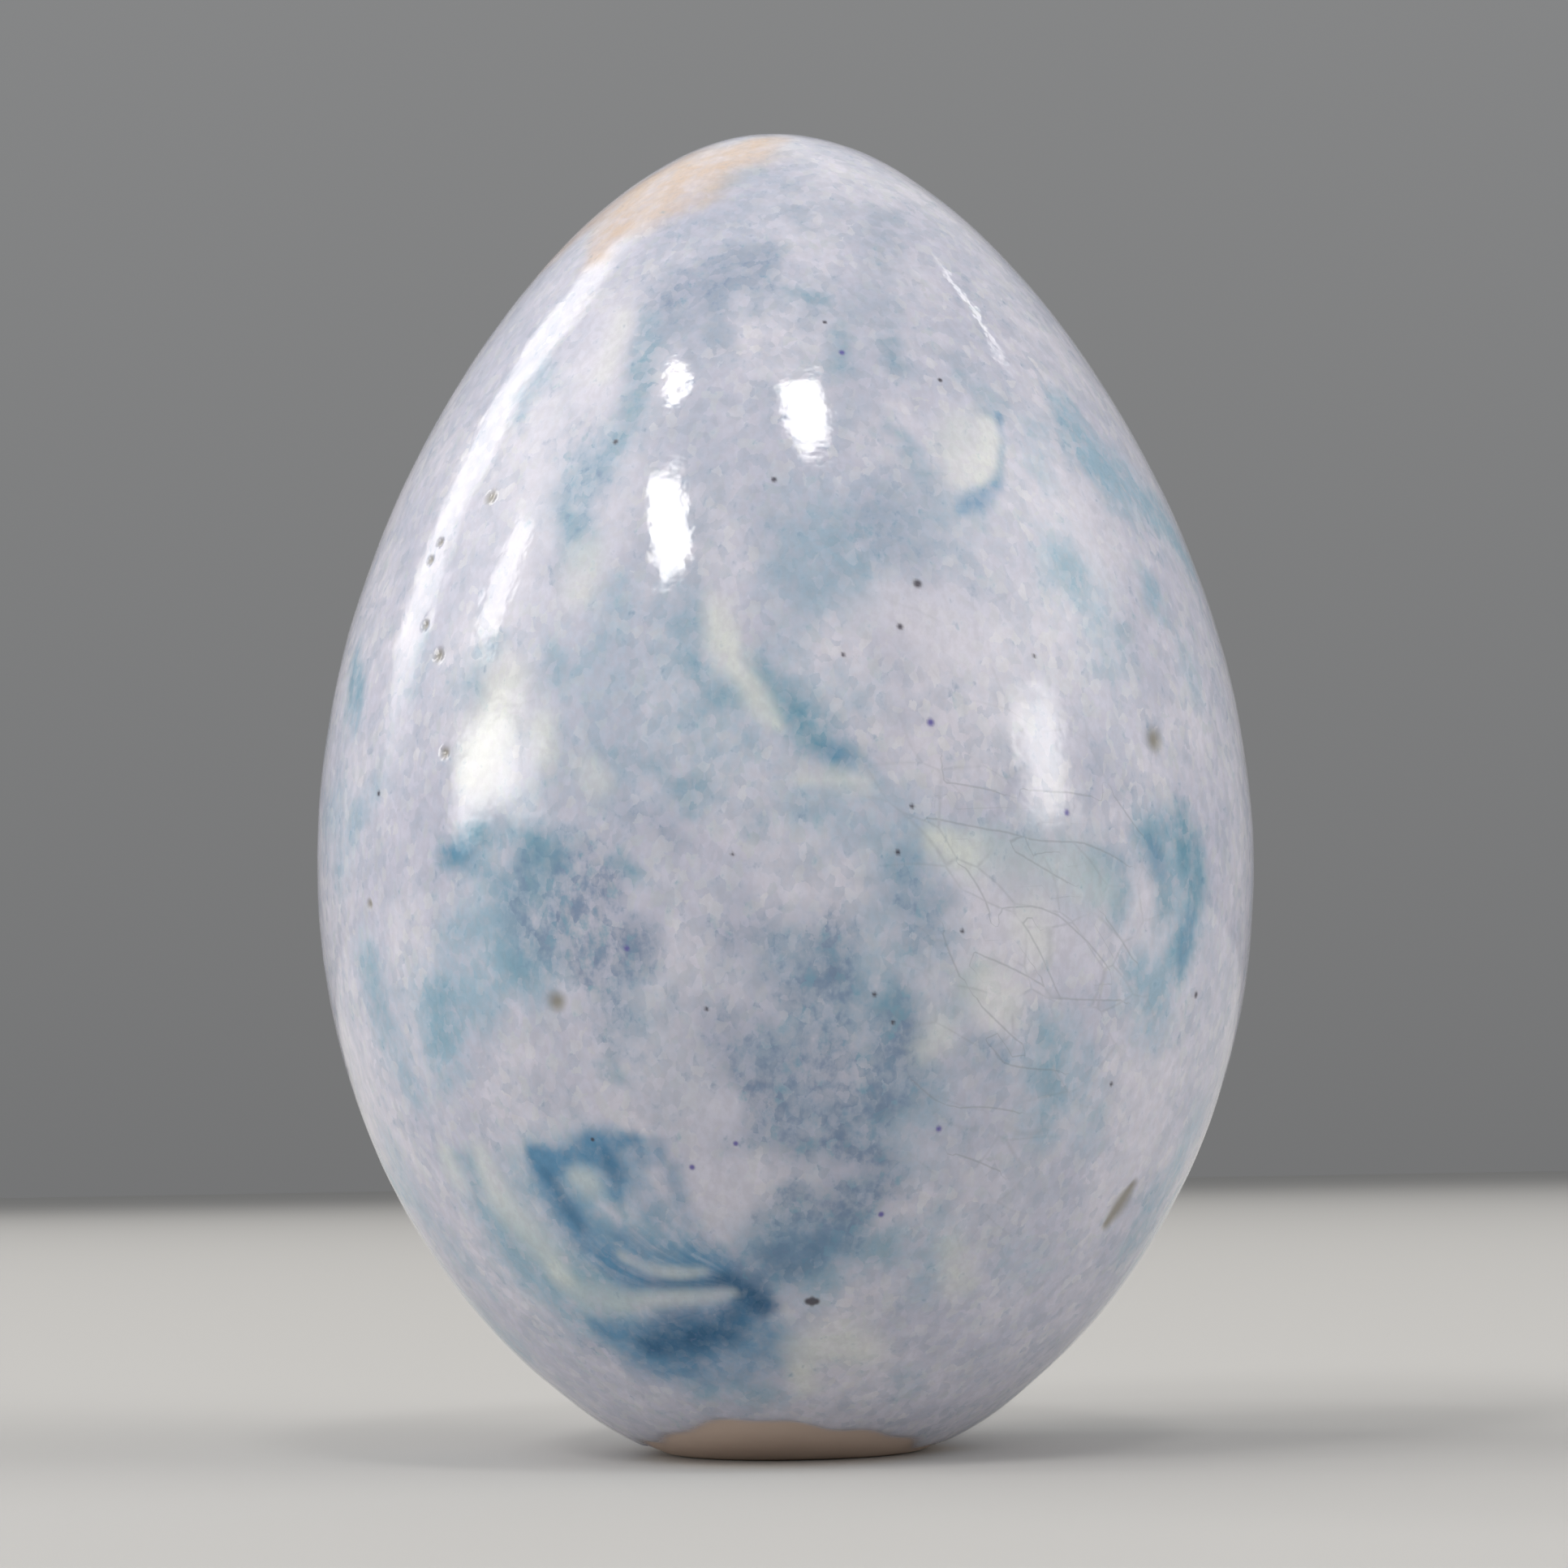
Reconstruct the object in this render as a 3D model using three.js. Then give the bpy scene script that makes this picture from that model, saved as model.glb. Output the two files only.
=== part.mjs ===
// A glazed ceramic egg that stands on a small flat foot at its blunt end.
// Millimetres, +Z up. The origin is the middle of the foot, on the surface that the egg stands on.
import * as THREE from "three";

// Driving dimensions
const HEIGHT = 65; // from the foot to the tip
const MIDDLE_DIAMETER = 45.5; // halfway along the egg as it would be with no foot cut
const FOOT_DIAMETER = 12; // the flat spot
const TAPER = 0.122; // share by which the tip's half is slimmer than the middle, and the blunt half fuller
const DRAW_IN = 0.109; // share by which both ends draw in from an ellipse

// Facets
const WALL_RINGS = 40; // rings of facets from the foot to the tip
const SEGMENTS = 72; // facets in each ring

const BLUNT_END = -Math.PI / 2;
const TIP = Math.PI / 2;

// Radius of the uncut egg at an angle along its outline, from BLUNT_END through 0 at the middle to TIP.
function outlineRadius(angle) {
  const s = Math.sin(angle);
  return (MIDDLE_DIAMETER / 2) * Math.cos(angle) * (1 - TAPER * s - DRAW_IN * s * s);
}

// Angle along the outline at which the egg is as wide as its foot, found by halving the blunt half.
function footAngle() {
  const halvings = 50;
  let below = BLUNT_END;
  let above = 0;
  for (let i = 0; i < halvings; i++) {
    const middle = (below + above) / 2;
    if (outlineRadius(middle) < FOOT_DIAMETER / 2) below = middle;
    else above = middle;
  }
  return (below + above) / 2;
}

// Half of the egg's outline, from the middle of the foot round to the tip, both on the axis.
function eggOutline() {
  const foot = footAngle();
  const uncutLength = (2 * HEIGHT) / (1 - Math.sin(foot));
  const outline = [new THREE.Vector2(0, 0)];
  for (let ring = 0; ring < WALL_RINGS; ring++) {
    const angle = foot + ((TIP - foot) * ring) / WALL_RINGS;
    const height = (uncutLength / 2) * (Math.sin(angle) - Math.sin(foot));
    outline.push(new THREE.Vector2(outlineRadius(angle), height));
  }
  outline.push(new THREE.Vector2(0, HEIGHT));
  return outline;
}

// The egg in one piece: the glaze is fused to the fired clay. The lathe turns about Y, so it is stood up along Z.
function makeEgg() {
  const geometry = new THREE.LatheGeometry(eggOutline(), SEGMENTS).rotateX(Math.PI / 2);
  const glaze = new THREE.MeshStandardMaterial({ color: 0xc3c6d8, roughness: 0.08, metalness: 0 });
  const egg = new THREE.Mesh(geometry, glaze);
  egg.name = "egg";
  return egg;
}

const ceramicEgg = new THREE.Group();
ceramicEgg.add(makeEgg());

export default ceramicEgg;
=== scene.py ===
import math
import random
from collections import defaultdict, namedtuple

import bmesh
import bpy
import numpy
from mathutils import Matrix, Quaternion, Vector, noise


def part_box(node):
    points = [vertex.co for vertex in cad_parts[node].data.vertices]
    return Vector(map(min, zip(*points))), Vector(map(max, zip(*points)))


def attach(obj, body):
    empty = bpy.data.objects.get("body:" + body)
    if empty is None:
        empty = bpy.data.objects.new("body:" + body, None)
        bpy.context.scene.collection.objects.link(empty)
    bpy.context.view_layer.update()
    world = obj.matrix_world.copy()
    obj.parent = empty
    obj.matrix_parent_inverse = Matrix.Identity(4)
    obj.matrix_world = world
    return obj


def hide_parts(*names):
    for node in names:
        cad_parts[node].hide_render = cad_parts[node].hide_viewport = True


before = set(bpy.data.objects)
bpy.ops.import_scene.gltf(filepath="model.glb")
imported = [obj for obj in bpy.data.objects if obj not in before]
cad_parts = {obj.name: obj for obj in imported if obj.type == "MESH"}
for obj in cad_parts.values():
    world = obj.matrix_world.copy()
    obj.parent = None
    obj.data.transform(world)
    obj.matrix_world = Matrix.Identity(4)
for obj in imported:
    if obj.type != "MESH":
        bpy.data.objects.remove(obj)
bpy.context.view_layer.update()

bl_info = {
    "name": "Glazed Ceramic Egg",
    "version": (1, 0, 0),
    "blender": (4, 5, 0),
    "location": "View3D > Sidebar > Egg",
    "description": "Models a marbled, glazed ceramic egg and the studio that it stands in",
    "category": "Object",
}

# The frame: everything that is sized from the CAD egg
EGG_LOW, EGG_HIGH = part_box("egg")
EGG_HEIGHT = EGG_HIGH.z - EGG_LOW.z
EGG_WIDTH = EGG_HIGH.x - EGG_LOW.x
MM = 0.001

# Marks of glaze. A mark is its strength, which is the share of pigment along its middle, and then the places
# that it runs through. A place is (turn, height, width): degrees round the egg from the front, positive to
# the right, millimetres above the foot, and the mark's width there in millimetres.

# Blue-grey haze, wide and soft: partly the glaze's own blue-grey and partly painted shade, which darkens the
# top and the lower front
HAZE_AND_SHADE_MARKS = (
    (0.75, (-21, 54.6, 1.6), (-18.4, 53.6, 2.8), (-17, 52.2, 2.8)),
    (0.85, (-1.9, 55.5, 1.8), (-8.5, 54.2, 2.2), (-10, 50.7, 1.6)),
    (0.40, (-24, 57.5, 3.0), (-12, 58, 4.0), (0, 58.4, 3.5), (10, 57.5, 3.0)),
    (0.55, (-8, 55.6, 3.0), (0, 53.6, 3.0), (8, 53.3, 2.6)),
    (0.55, (17, 58.8, 1.6), (23, 58.6, 1.8)),
    (0.60, (27.9, 58.8, 1.6), (21.5, 55.2, 1.8), (18.6, 52, 1.8), (18.8, 49.9, 1.4)),
    (0.70, (29.2, 50.7, 1.0), (30.1, 48.9, 1.4), (32.7, 47.9, 1.2)),
    (0.60, (19, 44.1, 2.4), (20.6, 43, 3.0), (22.5, 42.2, 2.4)),
    (0.45, (3, 60.2, 2.0), (8, 58.8, 2.0)),
    (0.40, (7, 62.3, 1.2), (12, 61.4, 1.2)),
    (0.45, (0, 50, 1.4), (-1.5, 48.2, 1.6), (-2, 47, 1.2)),
    (0.50, (11, 53, 3.0), (9.5, 50, 3.0), (10, 47, 2.6)),
    (0.40, (-34, 49.4, 1.6), (-33, 47.5, 2.0)),
    (0.45, (-13, 47, 3.0), (-10, 43, 3.5), (-12, 39, 3.0)),
    (0.50, (2, 41.5, 3.5), (8, 40.5, 5.0), (14, 41.5, 4.5), (20, 41.5, 3.0)),
    (0.40, (0, 44, 2.4), (3, 38, 3.0)),
    # Painted shade, in part: these wide marks darken the lower front
    (0.30, (-3, 22, 4.0), (0, 19, 5.0), (-1, 16, 4.0)),
    (0.35, (5, 23, 4.0), (8, 19, 5.0), (6, 14, 4.0)),
    (0.40, (12, 25, 3.0), (13, 20, 4.0), (11, 14, 4.0)),
    (0.40, (-14, 20, 3.0), (-12, 17, 3.0)),
    (0.40, (20, 18, 4.0), (28, 15, 5.0), (34, 12, 4.0)),
)

# Thin blue, wide and soft
WASH_MARKS = (
    # the front, above the widest part
    (0.65, (-24.8, 45.6, 2.4), (-27.1, 44.2, 3.2), (-27.3, 42.7, 2.6), (-25, 41.5, 2.0)),
    (0.50, (-41.1, 50.8, 1.0), (-41.6, 49.7, 1.4), (-41.6, 48.7, 1.0)),
    (0.40, (-20, 39, 2.0), (-21, 37, 2.6), (-21.5, 35.5, 3.0)),
    (0.28, (-13, 38.5, 2.2), (-12, 36.5, 3.0), (-9, 34.5, 3.6), (-4, 33, 3.0)),
    (0.20, (-26, 36.5, 3.0), (-22, 34.5, 5.0), (-16, 33.5, 5.0), (-9, 33, 5.0)),
    (0.20, (-24, 31.5, 4.0), (-17, 30.5, 4.0), (-10, 30.5, 4.0), (-3, 31, 3.0)),
    (0.40, (5, 40.5, 2.4), (8.3, 39.8, 3.0), (10.1, 39, 2.4), (5.2, 38.3, 2.4)),
    (0.30, (11, 42.5, 3.0), (18, 41.2, 3.2), (22, 42.3, 2.0)),
    (0.30, (4, 43, 2.4), (0, 39, 2.4)),
    (0.35, (1, 36, 2.0), (3, 34.5, 2.2), (8, 34, 2.0)),
    (0.45, (2, 28.8, 2.4), (6, 28.6, 3.2), (11, 28.4, 3.0), (12.5, 26.8, 2.4)),
    (0.45, (13, 26.8, 2.4), (15, 25, 2.6), (17, 23.2, 2.0)),
    # the left side
    (0.65, (-34, 28, 3.2), (-29.5, 27.5, 3.8), (-27, 27.3, 2.8)),
    (0.60, (-33, 25.5, 2.6), (-31, 24, 3.4)),
    (0.70, (-29.5, 22.6, 2.6), (-33.5, 23.3, 3.4), (-38, 22, 3.2), (-43, 21.2, 3.4), (-46, 19.3, 2.6)),
    (0.50, (-36, 25, 3.0), (-41, 24, 2.5)),
    (0.55, (-59.5, 24.2, 2.0), (-57.5, 22.5, 2.6), (-57, 20, 2.6), (-54.5, 17.6, 2.0)),
    (0.45, (-48, 22, 2.4), (-46.5, 19.8, 2.6), (-47.5, 17.8, 1.6)),
    (0.60, (-67, 37.5, 1.8), (-65, 36, 2.4), (-64, 34.6, 1.8)),
    (0.50, (-66, 27.3, 1.6), (-61, 29.3, 1.6), (-55, 31.4, 1.3)),
    (0.35, (-70, 30, 3.0), (-66, 31, 3.0)),
    (0.40, (-68, 14.5, 2.2), (-68, 11.5, 2.4), (-62, 9, 2.2)),
    # the right side
    (0.85, (47.4, 48.9, 1.4), (49, 46.9, 2.6), (53.1, 45.5, 3.0), (65.8, 44, 2.6), (71.2, 42.2, 2.2)),
    (0.45, (39.5, 47.1, 1.4), (38.6, 45.7, 1.8), (38.4, 44.3, 1.4)),
    (0.70, (36.6, 41.1, 2.4), (38, 40.3, 3.0), (40.6, 39.3, 2.8), (41.5, 37.8, 2.0)),
    (0.60, (53.6, 40.8, 1.4), (53.1, 39.8, 1.8), (54.8, 38.9, 1.4)),
    (0.40, (59, 37, 1.6), (58.5, 35, 1.6)),
    (0.50, (20, 27.2, 2.2), (30, 26.7, 2.8), (38, 26.4, 2.8), (41, 25.3, 2.0)),
    (0.70, (45.5, 28.2, 2.0), (50, 27.6, 3.0), (52.5, 25.5, 3.6), (53.5, 23, 2.4)),
    (0.85, (45.5, 21.8, 2.6), (49, 21.6, 3.2), (49, 20.2, 2.6)),
    (0.65, (33.5, 19.3, 2.0), (33, 17.5, 2.2), (33.5, 15.4, 1.8)),
    (0.40, (38, 18.2, 1.6), (38.5, 16.5, 2.0), (41.5, 14.9, 2.0)),
    (0.35, (24, 18.8, 1.4), (27, 18.2, 2.0)),
    (0.50, (69, 15, 2.4), (66.5, 12.4, 2.6), (66, 10, 2.4)),
    # the front, below the widest part
    (0.50, (2, 22.8, 2.6), (4.5, 22, 3.6), (6.5, 20.6, 3.4), (3, 19.8, 2.6)),
    (0.40, (10, 23.5, 2.0), (11.5, 21.5, 2.8), (12.5, 19.5, 2.8), (13, 17.6, 2.6), (11, 15.6, 2.4)),
    (0.35, (-2, 18.2, 2.4), (0, 16.4, 3.0), (4, 15.6, 2.6)),
    (0.35, (15, 16, 3.0), (15.5, 14, 2.6)),
    (0.30, (-18, 21, 3.0), (-19, 18.8, 2.0)),
    # round the foot
    (0.60, (-33, 14, 3.0), (-28, 13.6, 4.0), (-23.5, 13.6, 3.0)),
    (0.60, (-30, 12.4, 3.0), (-25, 11.6, 3.6), (-19, 10.8, 3.0)),
    (0.60, (-29, 11.5, 2.4), (-24, 10.8, 2.4), (-18, 10.3, 2.4), (-12, 10, 1.6)),
    (0.70, (-4.5, 10.6, 2.2), (0, 10.6, 3.4), (4, 9.6, 3.6), (7.5, 10.2, 2.6)),
    (0.50, (9.5, 12.7, 1.2), (8.5, 11, 1.6)),
    (0.50, (-1, 8.8, 2.4), (4, 8.6, 2.2)),
    (0.60, (-38, 7, 2.0), (-34, 6.4, 2.4), (-28, 6.2, 3.0)),
    (0.40, (-46, 8.6, 3.0), (-43, 7.4, 3.0)),
    (0.55, (-48, 13.5, 2.6), (-45.5, 11, 3.2), (-40, 8.4, 3.0), (-33, 6.8, 2.6)),
    (0.50, (-39, 13.5, 2.0), (-37.5, 11.5, 2.2), (-34, 9.6, 2.0)),
    (0.55, (-22, 3.4, 1.4), (-12, 3.6, 1.8), (-3, 3.6, 1.6)),
    (0.45, (-8, 5.6, 2.2), (-2, 5.8, 2.4)),
    (0.35, (11, 9.8, 1.6), (14, 9.5, 1.8)),
    (0.45, (17.5, 9.9, 1.6), (21.5, 9.4, 2.4), (20.5, 8.4, 2.0)),
    (0.30, (35, 9.3, 1.6), (38.5, 8.8, 1.8)),
    (0.30, (21.5, 11.2, 1.4), (24, 10.6, 1.6)),
    (0.30, (22, 4.2, 1.6), (26, 3.6, 1.6)),
    (0.55, (-45.5, 11.4, 1.8), (-42.8, 9.8, 2.2), (-38, 8.7, 2.0), (-28, 8.1, 1.6)),
)

# Blue-green streaks
TEAL_MARKS = (
    # above the widest part
    (0.50, (-22.2, 52.5, 1.0), (-20.9, 50.1, 1.4), (-21, 48.1, 1.8), (-21.9, 46.5, 1.4)),
    (0.35, (-16, 60.3, 1.2), (-8, 61, 1.4), (-4, 61.4, 1.0)),
    (0.45, (-28, 43, 1.4), (-26.8, 42.4, 1.4)),
    (0.35, (-27, 36.8, 1.2), (-25.5, 35.8, 1.6)),
    (0.50, (-38.3, 36.2, 1.6), (-36, 37, 1.4), (-33.8, 37.6, 1.2)),
    (0.35, (-48, 37.6, 1.2), (-48, 35.6, 1.2)),
    (0.35, (-39.5, 35.2, 1.4), (-38, 34.8, 1.2)),
    (0.50, (-24.5, 32.9, 1.1)),
    (0.40, (18.8, 51, 1.2), (19.2, 49.8, 1.2)),
    (0.40, (10.4, 51, 1.0), (9.6, 49.8, 1.2)),
    (0.55, (3, 53.5, 0.8), (6.8, 53.4, 0.8)),
    (0.50, (16, 46.3, 0.9), (17.9, 45.3, 1.2), (19.3, 44.5, 1.0)),
    (0.35, (29, 49.4, 1.0), (33, 48, 1.2)),
    (0.20, (7.5, 41.4, 1.6), (6, 40.6, 1.4)),
    (0.30, (9.4, 39.7, 1.3), (9.2, 38.8, 1.1)),
    (0.20, (1.5, 39, 1.2), (4.5, 38.7, 1.4)),
    (0.40, (-12.5, 37.8, 1.6), (-12, 36.4, 1.8), (-9.5, 35, 1.6), (-5, 33.6, 1.6)),
    (0.75, (-2.4, 36, 0.9), (-0.8, 34.6, 1.3), (2, 33.2, 1.9), (4, 32.2, 1.7), (6, 31, 1.3), (9, 30.4, 0.7)),
    # the right side
    (0.40, (44.5, 37.3, 1.6), (42.6, 36.4, 1.7), (40.2, 35.3, 1.4)),
    (0.35, (38, 40.5, 1.4), (38.6, 39.5, 1.4)),
    (0.85, (54, 28.5, 1.5), (54.4, 26.5, 1.8), (54.6, 24.6, 1.6), (53.6, 22.4, 1.2)),
    (0.60, (45.4, 28.2, 1.2), (47, 27.1, 1.2), (48.5, 26, 1.2), (48.3, 24.5, 1.2)),
    (0.45, (49.5, 28.4, 1.2), (52, 28.2, 1.4)),
    (0.45, (37, 26.6, 1.6), (40.3, 26.2, 1.8), (40.3, 25.2, 1.3)),
    (0.40, (33.5, 18.8, 1.2), (33.2, 17.4, 1.2), (33, 16.2, 1.0)),
    (0.45, (21.2, 21.4, 1.0), (19.6, 20.3, 1.0)),
    # the left side
    (0.85, (-41, 27.7, 1.4), (-38.5, 27.9, 1.8), (-36.8, 28.5, 1.2)),
    (0.60, (-28.5, 28.3, 1.6), (-27.2, 27.2, 1.5), (-28.6, 26.1, 1.3)),
    (0.50, (-33.5, 23.6, 1.6), (-31, 22.7, 1.8)),
    (0.45, (-44, 21.2, 1.8), (-45.5, 20.2, 1.6)),
    (0.40, (-58.5, 23.6, 1.3), (-57.5, 21.5, 1.5)),
    (0.50, (-66.5, 37, 1.4), (-65, 35.8, 1.6)),
    # the middle and the foot
    (0.60, (-18.4, 27, 0.9), (-16.4, 26.5, 1.0)),
    (0.45, (-14, 30.7, 0.8), (-13, 30.2, 1.0)),
    (0.50, (-11.2, 30.3, 0.9), (-9, 29.8, 1.3), (-9.8, 29, 0.9)),
    (0.35, (-19.5, 31.5, 1.2), (-17.5, 31.3, 1.2)),
    (0.25, (-4, 28.3, 1.0), (-2.4, 27.6, 1.0)),
    (0.45, (11.2, 22.2, 0.9), (11.8, 21.1, 1.4), (12.2, 20.3, 1.0)),
    (0.50, (-48.5, 14.2, 1.2), (-46.5, 12.8, 1.3)),
    (0.40, (-43, 9.9, 1.6), (-38, 8.7, 1.8), (-30, 7.95, 1.8), (-18, 8.1, 1.4), (-9, 8.3, 1.2)),
    (0.35, (-41, 10.6, 2.0), (-37, 9.3, 2.2), (-31, 8.7, 1.8)),
    (0.40, (12.4, 9.8, 1.4), (14, 9.6, 1.2)),
    (0.50, (-21.4, 17.9, 0.8), (-21.1, 17.3, 0.8)),
)

# Clear blue of the swirl above the foot, and of the darkest parts of the other streaks
BLUE_MARKS = (
    # the swirl's rim, its top and its inside
    (0.85, (-34.4, 14.3, 0.9), (-34.7, 13.2, 1.3), (-34.2, 12, 1.5), (-32.6, 10.9, 1.5), (-29.3, 9.7, 1.4),
     (-25.4, 8.9, 1.1)),
    (0.80, (-34.4, 14.1, 1.0), (-30, 14.3, 1.2), (-26, 14.6, 1.4), (-22.5, 15, 1.1), (-20, 15.1, 0.7)),
    (0.85, (-34, 13.8, 1.2), (-32, 13.9, 1.6), (-30.5, 14, 1.0)),
    (0.90, (-25.5, 14.4, 1.4), (-23.4, 13.8, 1.6), (-23.6, 12.9, 1.1)),
    (0.60, (-19.6, 15.1, 0.8), (-19.3, 14.1, 0.7)),
    (0.50, (-17.5, 15, 0.8), (-17.2, 14.2, 0.7)),
    (0.55, (-31, 12, 1.2), (-28.5, 11, 1.6), (-25, 10.2, 1.8), (-20, 9.7, 1.6), (-12, 9.3, 1.2)),
    (0.70, (-29.3, 9.7, 1.0), (-25.4, 8.9, 1.2), (-18.2, 8.7, 1.0), (-9.7, 8.9, 1.2)),
    (0.55, (-24, 10.9, 1.0), (-19.5, 10.4, 1.2), (-14, 10, 1.1), (-9.5, 9.4, 1.0)),
    (0.40, (-20.2, 14.1, 1.0), (-19.6, 12.3, 1.1), (-16.3, 11, 1.1), (-11, 9.9, 1.0)),
    (0.40, (-15.4, 13.7, 0.7), (-14.5, 12.2, 0.9), (-12.4, 10.8, 1.0), (-9.3, 9.7, 1.0)),
    # under the swirl and beside it
    (0.90, (-35, 6.6, 1.4), (-28, 6.1, 2.4), (-22, 6, 3.2), (-14, 6.5, 3.0), (-7, 7.2, 2.2)),
    (0.70, (-31, 5, 2.0), (-20, 4.7, 3.0), (-10, 5.2, 3.0), (-3, 5.8, 2.2)),
    (0.45, (-6, 8.6, 2.0), (-2, 9.4, 2.6), (1.5, 10, 2.8), (5, 10.2, 2.2)),
    # the other streaks
    (0.45, (5.2, 31.4, 1.0), (6.6, 30.8, 0.9)),
    (0.85, (33, 47.6, 0.35), (32.4, 46.4, 0.4), (31.2, 45.2, 0.4), (29.4, 44.2, 0.5)),
    (0.75, (28.8, 43.9, 0.8), (26.4, 43.3, 1.1), (23.8, 42.6, 0.6)),
    (0.50, (54.4, 24.4, 1.2), (53.8, 22.6, 0.9)),
    (0.45, (46.4, 27.7, 0.8), (47.8, 26.6, 0.8)),
    (0.45, (-40.6, 27.7, 1.0), (-38.5, 27.9, 1.4)),
)

# Dark blue where the glaze has pooled
DEEP_MARKS = (
    (0.85, (-11, 8.8, 0.8), (-8.2, 8.7, 1.2), (-6, 8.2, 1.6), (-3.6, 7.6, 1.2)),
    (0.45, (-24, 8.8, 0.7), (-18, 8.7, 0.8), (-11, 8.8, 0.8)),
    (0.55, (-11, 7.2, 1.0), (-7.5, 7.4, 1.3), (-5, 7.6, 1.2)),
    (0.80, (-26, 5.9, 1.6), (-20, 6.0, 2.8), (-13, 6.3, 2.2)),
    (0.40, (-34, 13.4, 0.7), (-33.2, 12.4, 0.8), (-31.4, 11.2, 0.7)),
    (0.40, (-24.2, 14.4, 0.8), (-23.4, 13.6, 0.9)),
    (0.30, (-2, 9.6, 1.4), (1, 9.4, 1.6), (3, 10.2, 1.2)),
)

# The swirl's streaks run between these two curves, given by places (turn, height), and draw together at their
# right-hand ends
SWIRL_INSIDE = ((-15.4, 13.7), (-14.5, 12.2), (-12.4, 10.8), (-9.3, 9.7), (-7, 8.9))
SWIRL_OUTSIDE = (
    (-48.9, 14.2), (-47.1, 12.4), (-44, 10.5), (-39.2, 8.6), (-31.7, 7.6), (-21.1, 7.2), (-7, 8))

# Grainy slate-blue mottling
SLATE_MARKS = (
    # left, beside the widest part
    (0.70, (-27, 24, 3.2), (-23, 24.1, 4.2), (-19, 23.4, 3.0)),
    (0.55, (-30, 26, 3.0), (-25, 26.4, 3.4), (-21, 26, 2.4)),
    (0.45, (-22, 22, 2.4), (-18.5, 22.2, 2.4)),
    # the front, below the widest part
    (0.60, (4.2, 24, 2.0), (4.6, 22.6, 2.6), (3.8, 21.4, 2.6)),
    (0.50, (5, 22.2, 2.0), (7, 20.6, 2.2)),
    (0.45, (-3.5, 23.7, 2.4), (-2, 23.3, 2.2)),
    (0.60, (-3, 17.1, 1.8), (0, 17.6, 2.4), (2.5, 18.3, 2.0), (4, 19, 1.6)),
    (0.65, (-3, 15.9, 2.0), (0.5, 15.4, 2.6), (3, 15.7, 2.6), (5.5, 15.2, 2.0)),
    (0.55, (5.6, 15.1, 1.2), (6.5, 13.8, 1.4)),
    (0.65, (13.3, 18.6, 1.8), (12.4, 17.1, 2.4), (10.4, 16.6, 2.0)),
    (0.60, (12.4, 21, 1.6), (13, 19.4, 2.0)),
    (0.60, (11.3, 15.8, 1.4), (11.2, 14.4, 1.4)),
    (0.55, (10.8, 13.8, 1.8), (12.2, 13.2, 1.6), (9.6, 12.2, 1.6)),
    (0.50, (9.4, 11.5, 1.4), (8.2, 10.4, 1.4)),
    (0.45, (-6, 18.2, 2.0), (-4, 17.2, 2.0)),
    (0.40, (-20, 20, 2.0), (-19.4, 18.6, 2.0)),
    (0.40, (-8, 19.6, 2.4), (-4, 19.8, 2.4), (0, 20.4, 2.4)),
    (0.40, (6, 18.4, 3.0), (8, 16, 3.0)),
    # round the foot
    (0.60, (-6, 8.8, 2.2), (-2, 9.6, 3.0), (2, 10.2, 3.6), (6, 10.6, 2.8)),
    (0.45, (0, 12, 2.0), (4, 11.6, 2.6), (8, 12, 2.0)),
    (0.30, (-41, 5.6, 1.6), (-38, 5.6, 1.4)),
    # elsewhere
    (0.30, (12, 42.2, 3.0), (19, 40.8, 3.0)),
    (0.40, (26, 26, 2.0), (28, 25.8, 2.0)),
    (0.40, (13, 26.4, 2.0), (15, 25, 2.4), (16, 23.6, 2.0)),
    (0.30, (-15.4, 28.6, 1.6), (-13.5, 28, 1.6)),
    (0.25, (38.5, 31.2, 1.6), (40.5, 30.6, 1.6)),
    (0.35, (23.6, 19, 1.2), (25, 18.2, 1.2)),
    (0.35, (-28, 46.4, 3.0), (-26, 43.5, 3.4), (-27, 41, 2.6)),
    (0.35, (-18.4, 53.6, 2.4), (-12, 54.5, 2.6), (-5.4, 55, 2.8)),
)

# Pinkish white where the glaze is thick
PALE_MARKS = (
    (0.60, (-28, 53.5, 2.4), (-29.5, 51, 2.8), (-28.5, 48.5, 2.2)),
    (0.55, (-37.1, 48.7, 1.4), (-32.1, 44.4, 1.6), (-30.9, 40.5, 1.8)),
    (0.50, (-20.8, 44.8, 1.4), (-21.5, 42.5, 1.6), (-21.8, 40.2, 1.4)),
    (0.60, (13, 37.8, 3.0), (18, 37, 3.5), (22, 36.5, 3.0)),
    (0.60, (-11, 13.5, 2.0), (-9, 12.3, 3.2), (-6.5, 12, 2.6), (-9.5, 10.9, 1.4)),
    (0.50, (-10, 16, 2.5), (-5, 16.4, 2.0)),
    (0.50, (5.3, 17, 1.4), (2.8, 17.4, 1.2)),
    (0.50, (44.5, 26.5, 1.6), (45.5, 25.5, 2.0), (45.5, 24.2, 2.2), (48.5, 23.4, 1.8)),
    (0.45, (43, 43.6, 3.0), (47, 42, 3.0), (44, 40.5, 3.0)),
    (0.40, (50, 17, 4.0), (52, 14, 4.0)),
    (0.40, (-33, 39.5, 2.0), (-35, 41.5, 2.2)),
    (0.60, (22, 24.9, 3.0), (27, 24, 3.6), (33, 23.6, 3.0)),
    (0.35, (-17.2, 24.4, 1.2)),
    (0.50, (-20, 13, 1.2), (-21.2, 11.8, 1.0)),
    (0.60, (-26.5, 12.1, 0.6), (-24.2, 11.1, 0.6), (-21.5, 10.6, 0.5)),
)

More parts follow.
